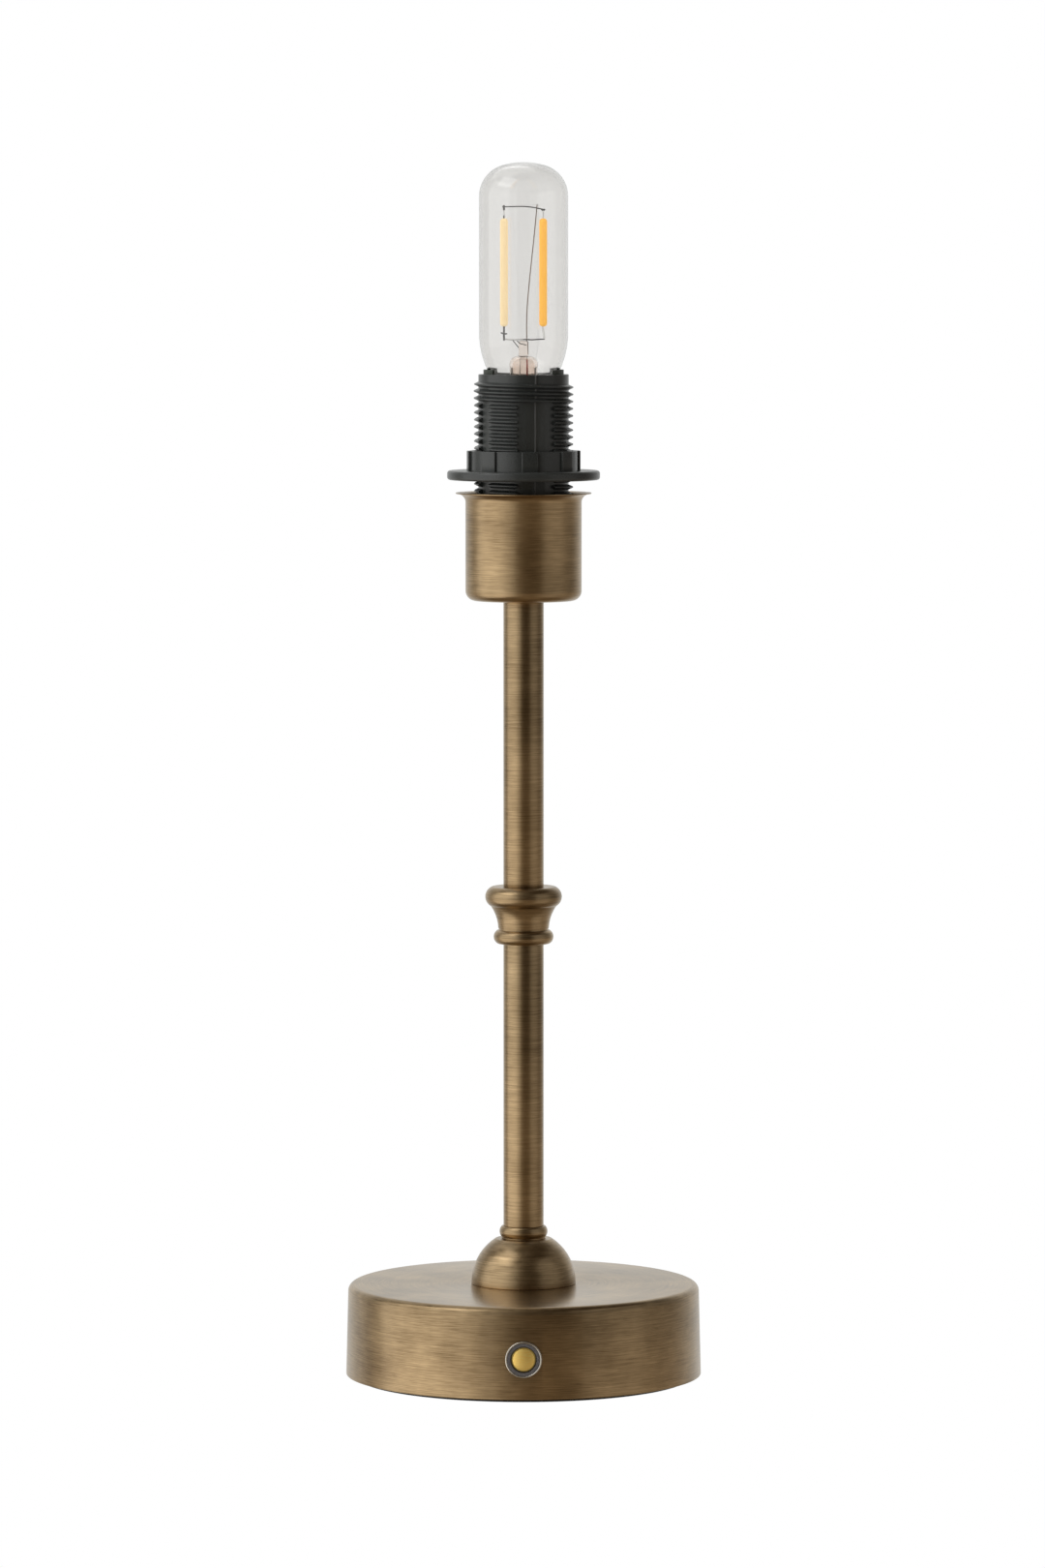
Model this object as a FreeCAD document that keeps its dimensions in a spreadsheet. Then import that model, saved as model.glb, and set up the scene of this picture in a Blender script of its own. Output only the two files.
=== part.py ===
import FreeCAD, Part
import math
import os
from types import SimpleNamespace

import Sketcher

# A cordless table lamp with a bare tubular bulb: a round weighted base with a push
# button, a turned column on a threaded rod, a flared cup, and a threaded lampholder
# with a loose shade ring. Millimetres; Z is up, the origin is the middle of the
# foot pad's underside, and the button faces -Y.

V = FreeCAD.Vector

SIZES = {
    # foot pad, bottom cover and ballast
    "pad_inset": 2.7,
    "pad_thickness": 1.2,
    "cover_thickness": 2.4,
    "cover_clearance": 0.25,
    "plate_clearance": 0.6,
    "plate_thickness": 3.8,
    # base shell
    "base_radius": 50.3,
    "base_draft": 0.6,
    "base_reveal": 1.0,
    "base_edge_round": 2.0,
    "shell_wall": 1.6,
    "shell_roof": 2.0,
    # pillars, studs and cover screws
    "pillar_wall_gap": 2.1,
    "pillar_turn": 30.0,
    "pillar_radius": 3.0,
    "pillar_bore": 1.55,
    "stud_radius": 1.5,
    "stud_depth": 5.0,
    "screw_radius": 1.5,
    "screw_reach": 10.0,
    "screw_head_radius": 2.75,
    "screw_head_height": 1.4,
    "screw_clearance": 0.2,
    "socket_share": 0.6,
    "tip_share": 0.3,
    # battery tray, cells and boards
    "tray_floor": 0.8,
    "tray_wall": 2.0,
    "tray_end_height": 8.0,
    "tray_rib_height": 5.0,
    "tray_rib_wall": 1.4,
    "cell_radius": 7.1,
    "cell_length": 50.0,
    "cell_headroom": 2.15,
    "cell_clearance": 0.1,
    "nickel_thickness": 0.15,
    "nickel_width": 4.0,
    "board_length": 38.0,
    "board_width": 17.0,
    "board_gap": 0.7,
    "board_thickness": 1.6,
    "board_lift": 1.8,
    "board_rail": 3.0,
    "coil_radius": 3.5,
    "coil_height": 4.0,
    "chip_length": 5.0,
    "chip_width": 4.0,
    "chip_height": 1.5,
    "can_radius": 2.5,
    "can_height": 6.0,
    "plug_height": 3.0,
    "coil_place": 12.67,
    "can_place": 12.67,
    "charge_chip_place": 7.6,
    "dimmer_chip_place": 4.75,
    "plug_place": 14.6,
    "plug_offset": 3.4,
    "tray_screw_reach": 3.0,
    "tray_screw_gap": 0.4,
    "tray_ear_width": 8.0,
    # push button in the front wall
    "button_height": 12.3,
    "button_spot_depth": 0.35,
    "bezel_radius": 5.1,
    "bezel_flange": 1.2,
    "bezel_rim": 0.5,
    "bezel_sleeve_radius": 4.6,
    "bezel_sleeve_wall": 0.6,
    "bezel_sleeve_length": 5.6,
    "bezel_hole_clearance": 0.1,
    "bezel_nut_radius": 6.5,
    "bezel_nut_thickness": 2.0,
    "light_ring_clearance": 0.05,
    "light_ring_depth": 6.0,
    "button_radius": 3.3,
    "button_gap": 0.15,
    "button_stand": 0.3,
    "button_dish": 0.35,
    "button_chamfer": 0.35,
    "button_depth": 4.6,
    "button_stem_radius": 1.6,
    "button_stem_length": 2.4,
    "button_travel": 0.6,
    "plunger_radius": 1.7,
    "plunger_length": 2.4,
    "plunger_clearance": 0.08,
    "switch_width": 6.0,
    "switch_depth": 3.5,
    "switch_overlap": 1.0,
    "switch_board_width": 14.0,
    "switch_board_thickness": 1.2,
    "switch_foot_width": 16.0,
    "switch_foot_depth": 4.0,
    "switch_foot_gap": 0.1,
    "foot_slot_clearance": 0.05,
    # charging inlet in the back wall
    "inlet_width": 8.94,
    "inlet_thickness": 3.26,
    "inlet_length": 7.3,
    "inlet_wall": 0.32,
    "inlet_depth": 6.0,
    "inlet_recess": 0.6,
    "inlet_clearance": 0.25,
    "tongue_width": 6.7,
    "tongue_thickness": 0.7,
    "tongue_length": 4.6,
    "inlet_board_width": 14.0,
    "inlet_board_depth": 11.0,
    "inlet_board_thickness": 1.0,
    "inlet_block_depth": 8.8,
    # threaded rod with its nuts and washers
    "rod_radius": 4.0,
    "rod_bore": 2.9,
    "rod_clearance": 0.1,
    "rod_tail": 3.0,
    "washer_radius": 9.0,
    "washer_thickness": 1.0,
    "nut_flats": 13.0,
    "nut_height": 4.0,
    # dome, neck bead, stems and knop
    "dome_radius": 14.75,
    "dome_foot": 0.35,
    "dome_height": 12.8,
    "neck_groove_radius": 6.2,
    "neck_groove": 0.4,
    "neck_bead_radius": 6.8,
    "neck_bead_height": 3.6,
    "neck_bead_bow": 0.7,
    "stem_radius": 5.68,
    "stem_bore": 4.4,
    "lower_stem_length": 80.3,
    "upper_stem_length": 80.8,
    "knop_height": 16.1,
    "knop_bead_radius": 8.45,
    "knop_bead_height": 3.8,
    "knop_bead_bow": 1.1,
    "knop_groove_radius": 7.0,
    "knop_groove": 0.6,
    "knop_neck_radius": 7.15,
    "knop_neck_bow": 0.45,
    "knop_shoulder_radius": 9.25,
    "knop_shoulder_height": 10.6,
    "knop_crown_radius": 8.9,
    "knop_crown_bow": 1.75,
    # cup
    "cup_gap": 1.55,
    "cup_height": 30.4,
    "cup_corner": 2.8,
    "cup_wall": 0.8,
    "cup_floor": 1.2,
    "cup_lip_reach": 2.75,
    "cup_lip_edge": 0.35,
    "cup_flare_height": 2.6,
    "cup_flare_bow": 0.75,
    "cup_inner_bow": 0.7,
    "cup_washer_radius": 8.0,
    "cup_nut_height": 3.5,
    # lampholder
    "holder_base_radius": 13.6,
    "holder_base_height": 15.9,
    "holder_base_floor": 4.0,
    "barrel_wall": 1.0,
    "holder_fit": 0.1,
    "spigot_height": 4.0,
    "spigot_wall": 0.9,
    "grub_radius": 1.45,
    "grub_length": 5.0,
    "grub_clearance": 0.05,
    "barrel_height": 42.0,
    "thread_radius": 14.0,
    "thread_depth": 1.3,
    "thread_pitch": 2.0,
    "thread_crest": 0.3,
    "thread_floor": 0.5,
    "rim_band": 1.6,
    "full_thread": 7.6,
    "flat_cut": 0.3,
    "flat_width": 13.4,
    "flat_turn": 16.0,
    "slot_cut": 0.05,
    "slot_width": 4.4,
    "slot_turn": 71.0,
    "slot_spread": 38.0,
    "block_bore_depth": 20.4,
    "skirt_recess": 1.0,
    "skirt_height": 6.0,
    "skirt_wall": 0.7,
    "tab_rise": 2.3,
    "tab_spread": 80.0,
    # screw shell, contacts and terminals
    "cap_fit": 0.2,
    "shell_skin": 0.3,
    "shell_fit": 0.05,
    "shell_lift": 2.2,
    "shell_stand": 1.0,
    "shell_lip": 1.9,
    "contact_post_place": 5.5,
    "side_post_place": 6.3,
    "post_radius": 1.0,
    "post_clearance": 0.05,
    "leaf_width": 3.0,
    "leaf_thickness": 0.4,
    "leaf_rise": 1.3,
    "leaf_reach": 2.4,
    "terminal_width": 5.0,
    "terminal_height": 4.0,
    "terminal_gap": 3.0,
    "terminal_screw_radius": 1.2,
    "terminal_screw_head": 2.0,
    "wire_radius": 0.8,
    "wire_place": 1.0,
    "wire_bend": 4.0,
    # shade ring
    "ring_parking": 3.6,
    "ring_flange_reach": 6.2,
    "ring_flange": 2.6,
    "ring_edge_round": 0.8,
    "ring_wall": 1.05,
    "ring_height": 8.2,
    "ring_clearance": 0.25,
    "ring_rib_depth": 0.7,
    "ring_rib_width": 4.7,
    "ring_rib_turn": 6.5,
    "ring_rib_root": 0.4,
    # bulb
    "bulb_contact_gap": 0.1,
    "bulb_length": 85.0,
    "bulb_radius": 12.5,
    "glass_wall": 0.8,
    "bulb_dome": 9.5,
    "bulb_crown_rise": 0.5,
    "tip_radius": 2.4,
    "tip_height": 1.2,
    "tip_round": 0.7,
    "insulator_gap": 0.03,
    "insulator_seat": 0.05,
    "insulator_height": 3.2,
    "cap_thread_radius": 6.9,
    "cap_thread_depth": 0.7,
    "cap_skin": 0.35,
    "cap_pitch": 2.82,
    "cap_lead": 0.6,
    "cap_height": 21.0,
    "cap_skirt_flare": 0.3,
    "cap_skirt_wall": 0.4,
    "glass_neck_fit": 0.05,
    "glass_neck_depth": 3.5,
    "shoulder_gap": 0.9,
    "shoulder_height": 25.8,
    "shoulder_bow": 0.55,
    "flank_height": 36.0,
    "flank_bow": 0.6,
    "stem_glass_radius": 3.85,
    "stem_glass_wall": 0.7,
    "stem_glass_height": 30.8,
    "stem_glass_round": 3.4,
    "stem_inner_bow": 0.26,
    "tube_glass_radius": 1.4,
    "tube_glass_height": 3.6,
    "tube_glass_round": 0.7,
    "frame_gap": 0.3,
    "frame_top_gap": 12.6,
    "frame_reach": 6.0,
    "frame_wire": 0.3,
    "support_top_place": 3.8,
    "support_foot_place": 0.8,
    "filament_radius": 1.1,
    "filament_top_gap": 3.1,
    "filament_foot_gap": 3.6,
    "filament_place": 5.5,
    "driver_length": 11.0,
    "driver_width": 8.6,
    "driver_thickness": 1.0,
    "driver_lift": 5.4,
    "lead_radius": 0.25,
    "lead_place": 0.7,
}

document = FreeCAD.newDocument("table_lamp")
sheet = document.addObject("Spreadsheet::Sheet", "Sizes")
for row, (alias, value) in enumerate(SIZES.items(), start=1):
    sheet.set(f"A{row}", alias.replace("_", " "))
    sheet.set(f"B{row}", str(value))
    sheet.setAlias(f"B{row}", alias)
document.recompute()


class Size:
    """A length as the sheet works it out: its expression, and its value now."""

    def __init__(self, text, value):
        self.text = text
        self.value = float(value)

    def __add__(self, other):
        other = as_size(other)
        return Size(f"({self.text} + {other.text})", self.value + other.value)

    def __sub__(self, other):
        other = as_size(other)
        return Size(f"({self.text} - {other.text})", self.value - other.value)

    def __rsub__(self, other):
        return as_size(other) - self

    def __mul__(self, other):
        other = as_size(other)
        return Size(f"({self.text} * {other.text})", self.value * other.value)

    def __truediv__(self, other):
        other = as_size(other)
        return Size(f"({self.text} / {other.text})", self.value / other.value)

    def __neg__(self):
        return Size(f"(0 - {self.text})", -self.value)

    __radd__ = __add__
    __rmul__ = __mul__


def as_size(value):
    """A plain number as a Size, and a Size as it is."""
    return value if isinstance(value, Size) else Size(repr(float(value)), value)


def square(size):
    """A size times itself."""
    size = as_size(size)
    return size * size


def root(size):
    """The square root of a size."""
    return Size(f"sqrt({size.text})", math.sqrt(size.value))


def sine(degrees):
    """The sine of an angle held in the sheet as a plain number of degrees."""
    return Size(f"sin({degrees.text} * 1 deg)", math.sin(math.radians(degrees.value)))


def cosine(degrees):
    """The cosine of an angle held in the sheet as a plain number of degrees."""
    return Size(f"cos({degrees.text} * 1 deg)", math.cos(math.radians(degrees.value)))


s = SimpleNamespace(**{alias: Size(f"Sizes.{alias}", value) for alias, value in SIZES.items()})

# The height of a quarter round's arc over its chord, for a radius of 1.
QUARTER_BOW = 1 - math.sqrt(0.5)

nodes = []


def bind(thing, **sizes):
    """Tie properties of an object to sizes."""
    for name, size in sizes.items():
        thing.setExpression(name, as_size(size).text)
    return thing


def place(thing, x=0, y=0, z=0, rotation=None):
    """Put an object at a place worked out from sizes, turned if need be."""
    turn = rotation or FreeCAD.Rotation()
    where = [as_size(value) for value in (x, y, z)]
    thing.Placement = FreeCAD.Placement(V(*[size.value for size in where]), turn)
    for axis, size in zip("xyz", where):
        thing.setExpression(f"Placement.Base.{axis}", size.text)
    return thing


def node(label, thing):
    """Name a finished piece and keep it for the hand-over."""
    thing.Label = label
    nodes.append(thing)
    return thing


def cylinder(name, radius, height, x=0, y=0, z=0, rotation=None):
    """A cylinder that starts at a place and runs along its own Z."""
    solid = document.addObject("Part::Cylinder", name)
    return place(bind(solid, Radius=radius, Height=height), x, y, z, rotation)


def box(name, length, width, height, x=0, y=0, z=0):
    """A box centred on x and y, standing on z."""
    solid = bind(document.addObject("Part::Box", name), Length=length, Width=width, Height=height)
    return place(solid, x - as_size(length) / 2, y - as_size(width) / 2, z)


def turned_box(name, length, width, height, x, y, z, degrees):
    """A box whose near face lies on the line at x from the axis, turned about Z."""
    solid = bind(document.addObject("Part::Box", name), Length=length, Width=width, Height=height)
    angle = as_size(degrees)
    shift_x = x * cosine(angle) - y * sine(angle)
    shift_y = x * sine(angle) + y * cosine(angle)
    place(solid, shift_x, shift_y, z)
    solid.setExpression("Placement.Rotation.Angle", f"{angle.text} * 1 deg")
    return solid


def cut(name, solid, *tools):
    """The first solid less the others."""
    result = document.addObject("Part::Cut", name)
    result.Base = solid
    result.Tool = tools[0] if len(tools) == 1 else fuse(name + "_tools", *tools)
    return result


def fuse(name, *solids):
    """Several solids as one."""
    result = document.addObject("Part::MultiFuse", name)
    result.Shapes = list(solids)
    result.Refine = True
    return result


def common(name, *solids):
    """The space that all the solids share."""
    result = document.addObject("Part::MultiCommon", name)
    result.Shapes = list(solids)
    return result


def group(name, *solids):
    """Like pieces that share one node."""
    result = document.addObject("Part::Compound", name)
    result.Links = list(solids)
    return result


def origin_plane(body, role):
    """One of a body's own datum planes."""
    return next(plane for plane in body.Origin.OriginFeatures if plane.Role == role)


def bow_of(radius, start, end):
    """How far an arc of a radius stands off its chord."""
    across = as_size(end[0]) - start[0]
    along = as_size(end[1]) - start[1]
    half_chord_squared = (square(across) + square(along)) / 4
    return radius - root(square(radius) - half_chord_squared)


def ball_radius(radius, rise):
    """The radius of the ball whose cap has a given rim radius and rise."""
    return (square(radius) + square(rise)) / (as_size(rise) * 2)


def sketch_outline(sketch, outline):
    """Draw a closed outline and tie each corner and arc to the sizes.

    Each entry is (radius, height), with a third number where the edge that leads on
    from it bows out of the piece, or into it where that number is negative.
    """
    corners = [tuple(as_size(value) for value in entry) for entry in outline]
    ends = []
    for index, corner in enumerate(corners):
        follower = corners[(index + 1) % len(corners)]
        start = V(corner[0].value, corner[1].value, 0)
        end = V(follower[0].value, follower[1].value, 0)
        if len(corner) == 2:
            ends.append((sketch.addGeometry(Part.LineSegment(start, end), False), 1, 2))
            continue
        bow = corner[2]
        chord = end - start
        outward = V(chord.y, -chord.x, 0).normalize()
        if bow.value > 0:
            arc = Part.Arc(start, (start + end) / 2 + outward * bow.value, end)
            ends.append((sketch.addGeometry(arc, False), 1, 2))
        else:
            arc = Part.Arc(end, (start + end) / 2 + outward * bow.value, start)
            ends.append((sketch.addGeometry(arc, False), 2, 1))
    for index, (edge, first, last) in enumerate(ends):
        next_edge, next_first, _ = ends[(index + 1) % len(ends)]
        sketch.addConstraint(Sketcher.Constraint("Coincident", edge, last, next_edge, next_first))
    for index, (edge, first, last) in enumerate(ends):
        corner = corners[index]
        follower = corners[(index + 1) % len(corners)]
        if corner[0].value == 0:
            sketch.addConstraint(Sketcher.Constraint("PointOnObject", edge, first, -2))
        else:
            tie(sketch, Sketcher.Constraint("DistanceX", edge, first, corner[0].value), corner[0])
        if corner[1].value == 0:
            sketch.addConstraint(Sketcher.Constraint("PointOnObject", edge, first, -1))
        else:
            tie(sketch, Sketcher.Constraint("DistanceY", edge, first, corner[1].value), corner[1])
        if len(corner) == 3:
            bow = corner[2] if corner[2].value > 0 else -corner[2]
            chord_squared = square(follower[0] - corner[0]) + square(follower[1] - corner[1])
            radius = (chord_squared / 4 + square(bow)) / (bow * 2)
            tie(sketch, Sketcher.Constraint("Radius", edge, radius.value), radius)


def tie(sketch, constraint, size):
    """Add a driving dimension and bind it to a size."""
    number = sketch.addConstraint(constraint)
    sketch.setExpression(f"Constraints[{number}]", size.text)


def turned(name, outline):
    """A piece turned about its own Z from an outline that runs anticlockwise."""
    body = document.addObject("PartDesign::Body", name)
    sketch = body.newObject("Sketcher::SketchObject", name + "_outline")
    sketch.AttachmentSupport = [(origin_plane(body, "XZ_Plane"), "")]
    sketch.MapMode = "FlatFace"
    sketch_outline(sketch, outline)
    turning = body.newObject("PartDesign::Revolution", name + "_turning")
    turning.Profile = sketch
    turning.ReferenceAxis = (sketch, ["V_Axis"])
    turning.Angle = 360
    sketch.Visibility = False
    return body


def ring(name, outer, bore, height, lift=0):
    """A plain tube or washer."""
    top = as_size(lift) + height
    return turned(name, [(bore, lift), (outer, lift), (outer, top), (bore, top)])


def hexagon_nut(name, height):
    """A hexagon nut on the rod's thread."""
    blank = bind(document.addObject("Part::Prism", name + "_blank"), Height=height)
    blank.Polygon = 6
    bind(blank, Circumradius=s.nut_flats / math.sqrt(3))
    return cut(name, blank, cylinder(name + "_bore", s.rod_radius, height))


def quarter_turns(count, step, first=0.0):
    """The angles of pieces spread evenly on a circle."""
    return [first + step * number for number in range(count)]


# Heights of the main levels, from the table up. The cells set how tall the base is.
cover_top = s.pad_thickness + s.cover_thickness
plate_top = cover_top + s.plate_thickness
tray_top = plate_top + s.tray_floor
cell_middle = tray_top + s.cell_radius + s.cell_clearance / 2
roof_under = cell_middle + s.cell_radius + s.cell_headroom
base_height = roof_under + s.shell_roof
neck_level = base_height + s.dome_height
lower_stem_level = neck_level + s.neck_bead_height
knop_level = lower_stem_level + s.lower_stem_length
upper_stem_level = knop_level + s.knop_height
cup_level = upper_stem_level + s.upper_stem_length
cup_floor_level = cup_level + s.cup_floor
cup_lip_level = cup_level + s.cup_height
holder_level = cup_floor_level + s.washer_thickness + s.cup_nut_height
holder_floor_level = holder_level + s.holder_base_floor
barrel_level = holder_level + s.holder_base_height
block_level = barrel_level + s.spigot_height
skirt_top = s.barrel_height - s.spigot_height - s.skirt_recess
block_height = skirt_top - s.skirt_height
block_floor = block_height - s.block_bore_depth
block_floor_level = block_level + block_floor
leaf_level = block_floor_level + s.leaf_rise + s.leaf_thickness
bulb_level = leaf_level + s.bulb_contact_gap
rod_foot = roof_under - s.washer_thickness - s.nut_height - s.rod_tail
rod_hole = s.rod_radius + s.rod_clearance

# Radii of the base, and of its wall at the button's height.
base_top_radius = s.base_radius - s.base_draft
base_inner_radius = s.base_radius - s.shell_wall
top_inner_radius = base_top_radius - s.shell_wall
wall_share = (s.button_height - s.base_reveal) / (base_height - s.base_reveal)
wall_radius = s.base_radius - s.base_draft * wall_share
inner_wall_radius = wall_radius - s.shell_wall
pad_radius = s.base_radius - s.pad_inset
pillar_circle = top_inner_radius - s.pillar_wall_gap - s.pillar_radius

# The flat face of the bezel nut, which its rim meets on the round wall.
bezel_nut_seat = root(square(top_inner_radius) - square(s.bezel_nut_radius))

# Inside the base: the cells beside the board, and the tray's ends with their ears.
rib_reach = s.cell_radius + s.cell_clearance
cell_offset = s.board_width / 2 + s.board_gap + s.tray_rib_wall + rib_reach
tray_end_inside = s.cell_length / 2 + s.nickel_thickness + s.cell_clearance
tray_end = tray_end_inside + s.tray_wall
tray_screw_place = tray_end + s.tray_screw_gap + s.screw_head_radius

# The lampholder: each wall stands off the one outside it.
thread_root = s.thread_radius - s.thread_depth
flat_distance = thread_root - s.flat_cut
slot_distance = thread_root - s.slot_cut
holder_bore = flat_distance - s.barrel_wall
cup_radius = s.thread_radius + s.cup_gap + s.cup_wall
cup_lip_radius = cup_radius + s.cup_lip_reach
skirt_bore = holder_bore - s.holder_fit - s.skirt_wall
shell_bore = s.cap_thread_radius + s.cap_fit
shell_height = block_height + s.shell_stand - block_floor - s.shell_lift

# The shade ring runs on the barrel's thread.
ring_bore = s.thread_radius + s.ring_clearance
ring_collar_radius = ring_bore + s.ring_wall
ring_rib_radius = ring_collar_radius + s.ring_rib_depth
ring_flange_radius = ring_collar_radius + s.ring_flange_reach

# The bulb: its cap's radii from the thread in, and the frame above its stem.
cap_root_radius = s.cap_thread_radius - s.cap_thread_depth
cap_skirt_radius = s.cap_thread_radius + s.cap_skirt_flare
cap_bore = cap_root_radius - s.cap_skin
insulator_top_radius = cap_bore + s.insulator_seat
glass_neck_radius = cap_bore - s.glass_neck_fit
shoulder_radius = skirt_bore - s.shoulder_gap
bead_edge_level = s.stem_glass_height + s.tube_glass_height
bead_top_level = bead_edge_level + s.tube_glass_round
frame_lift = bead_top_level + s.frame_gap
frame_height = s.bulb_length - frame_lift - s.frame_top_gap
filament_lift = frame_lift + s.filament_foot_gap
filament_length = frame_height - s.filament_foot_gap - s.filament_top_gap


# Turns local +Z towards the front (-Y) or the back (+Y).
TO_FRONT = FreeCAD.Rotation(V(1, 0, 0), 90)
TO_BACK = FreeCAD.Rotation(V(1, 0, 0), -90)


def pillar_places():
    """The x and y of each pillar on its circle."""
    turn = s.pillar_turn
    return [(pillar_circle * cosine(turn) * across, pillar_circle * sine(turn) * along)
            for across in (-1, 1) for along in (-1, 1)]


def make_base_shell():
    """The brass shell: roof and wall in one, with studs under its roof."""
    height = base_height - s.base_reveal
    edge = s.base_edge_round
    inside = height - s.shell_roof
    skin = turned("shell_skin_body", [
        (rod_hole, inside),
        (top_inner_radius, inside),
        (base_inner_radius, 0),
        (s.base_radius, 0),
        (base_top_radius, height - edge, edge * QUARTER_BOW),
        (base_top_radius - edge, height),
        (rod_hole, height),
    ])
    place(skin, z=s.base_reveal)
    spot_floor = wall_radius - s.button_spot_depth
    button_spot = cylinder("button_spot", s.bezel_radius + s.bezel_hole_clearance, s.shell_wall,
                           y=-spot_floor, z=s.button_height, rotation=TO_FRONT)
    button_hole = cylinder("button_hole", s.bezel_sleeve_radius + s.bezel_hole_clearance,
                           s.shell_wall * 3, y=-(inner_wall_radius - s.shell_wall),
                           z=s.button_height, rotation=TO_FRONT)
    slot = stadium("inlet_slot", s.inlet_width + s.inlet_clearance * 2,
                   s.inlet_thickness + s.inlet_clearance * 2, s.shell_wall * 3,
                   inner_wall_radius - s.shell_wall)
    pierced = cut("shell_pierced", skin, button_spot, button_hole, slot)
    studs = []
    for number, (x, y) in enumerate(pillar_places()):
        reach = s.stud_depth + s.shell_roof / 2
        studs.append(cylinder(f"stud_{number}", s.stud_radius, reach, x, y, roof_under - s.stud_depth))
    node("base_shell", fuse("base_shell", pierced, *studs))


def stadium(name, width, thickness, length, start):
    """A bar with round ends in its section, lying along Y at the button's height."""
    half = (width - thickness) / 2
    rods = []
    for side, sign in (("left", -1), ("right", 1)):
        rods.append(cylinder(f"{name}_{side}", thickness / 2, length, half * sign, start,
                             s.button_height, rotation=TO_BACK))
    middle = box(f"{name}_middle", width - thickness, length, thickness,
                 y=start + length / 2, z=s.button_height - thickness / 2)
    return fuse(name, middle, *rods)


def make_foot():
    """The pad that the lamp stands on, the bottom cover and the cover's screws."""
    pad = cylinder("foot_pad", pad_radius, s.pad_thickness)
    node("foot_pad", pad)

    cover_radius = base_inner_radius - s.cover_clearance
    cover = cylinder("cover_blank", cover_radius, s.cover_thickness, z=s.pad_thickness)
    clear_radius = s.screw_radius + s.screw_clearance
    head_pocket = s.screw_head_height + s.screw_clearance / 2
    plate = cylinder("plate_blank", top_inner_radius - s.plate_clearance, s.plate_thickness,
                     z=cover_top)
    cover_tools = []
    plate_tools = []
    screws = []
    pillars = []
    for number, (x, y) in enumerate(pillar_places()):
        cover_tools.append(cylinder(f"cover_hole_{number}", clear_radius, s.cover_thickness,
                                    x, y, s.pad_thickness))
        cover_tools.append(cylinder(f"cover_recess_{number}",
                                    s.screw_head_radius + s.screw_clearance, head_pocket,
                                    x, y, s.pad_thickness))
        plate_tools.append(cylinder(f"plate_hole_{number}", clear_radius, s.plate_thickness,
                                    x, y, cover_top))
        screw = pan_screw(f"cover_screw_{number}", s.screw_head_radius, s.screw_head_height,
                          s.screw_radius, s.screw_reach)
        screws.append(place(screw, x, y, s.pad_thickness + s.screw_clearance / 2))
        pillar = ring(f"pillar_{number}", s.pillar_radius, s.pillar_bore, roof_under - plate_top)
        pillars.append(place(pillar, x, y, plate_top))
    for side in (-1, 1):
        x = tray_screw_place * side
        plate_tools.append(cylinder(f"tray_tap_{side + 1}", s.screw_radius, s.plate_thickness,
                                    x, 0, cover_top))
    nut_clear = s.bezel_nut_radius + s.plate_clearance
    plate_tools.append(cylinder("plate_notch", nut_clear, s.base_radius,
                                y=-(bezel_nut_seat - s.bezel_nut_thickness - s.plate_clearance),
                                z=s.button_height, rotation=TO_FRONT))
    node("bottom_cover", cut("bottom_cover", cover, *cover_tools))
    node("cover_screws", group("cover_screws", *screws))
    node("weight_plate", cut("weight_plate", plate, *plate_tools))
    node("pillars", group("pillars", *pillars))


def pan_screw(name, head_radius, head_height, shank_radius, reach):
    """A screw with its head at the bottom and a hexagon socket in it."""
    socket_radius = shank_radius * s.socket_share
    socket_depth = head_height * s.socket_share
    top = head_height + reach
    tip = shank_radius * s.tip_share
    return turned(name, [
        (0, socket_depth),
        (socket_radius, socket_depth),
        (socket_radius, 0),
        (head_radius, 0),
        (head_radius, head_height),
        (shank_radius, head_height),
        (shank_radius, top - tip),
        (shank_radius - tip, top),
        (0, top),
    ])


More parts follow.
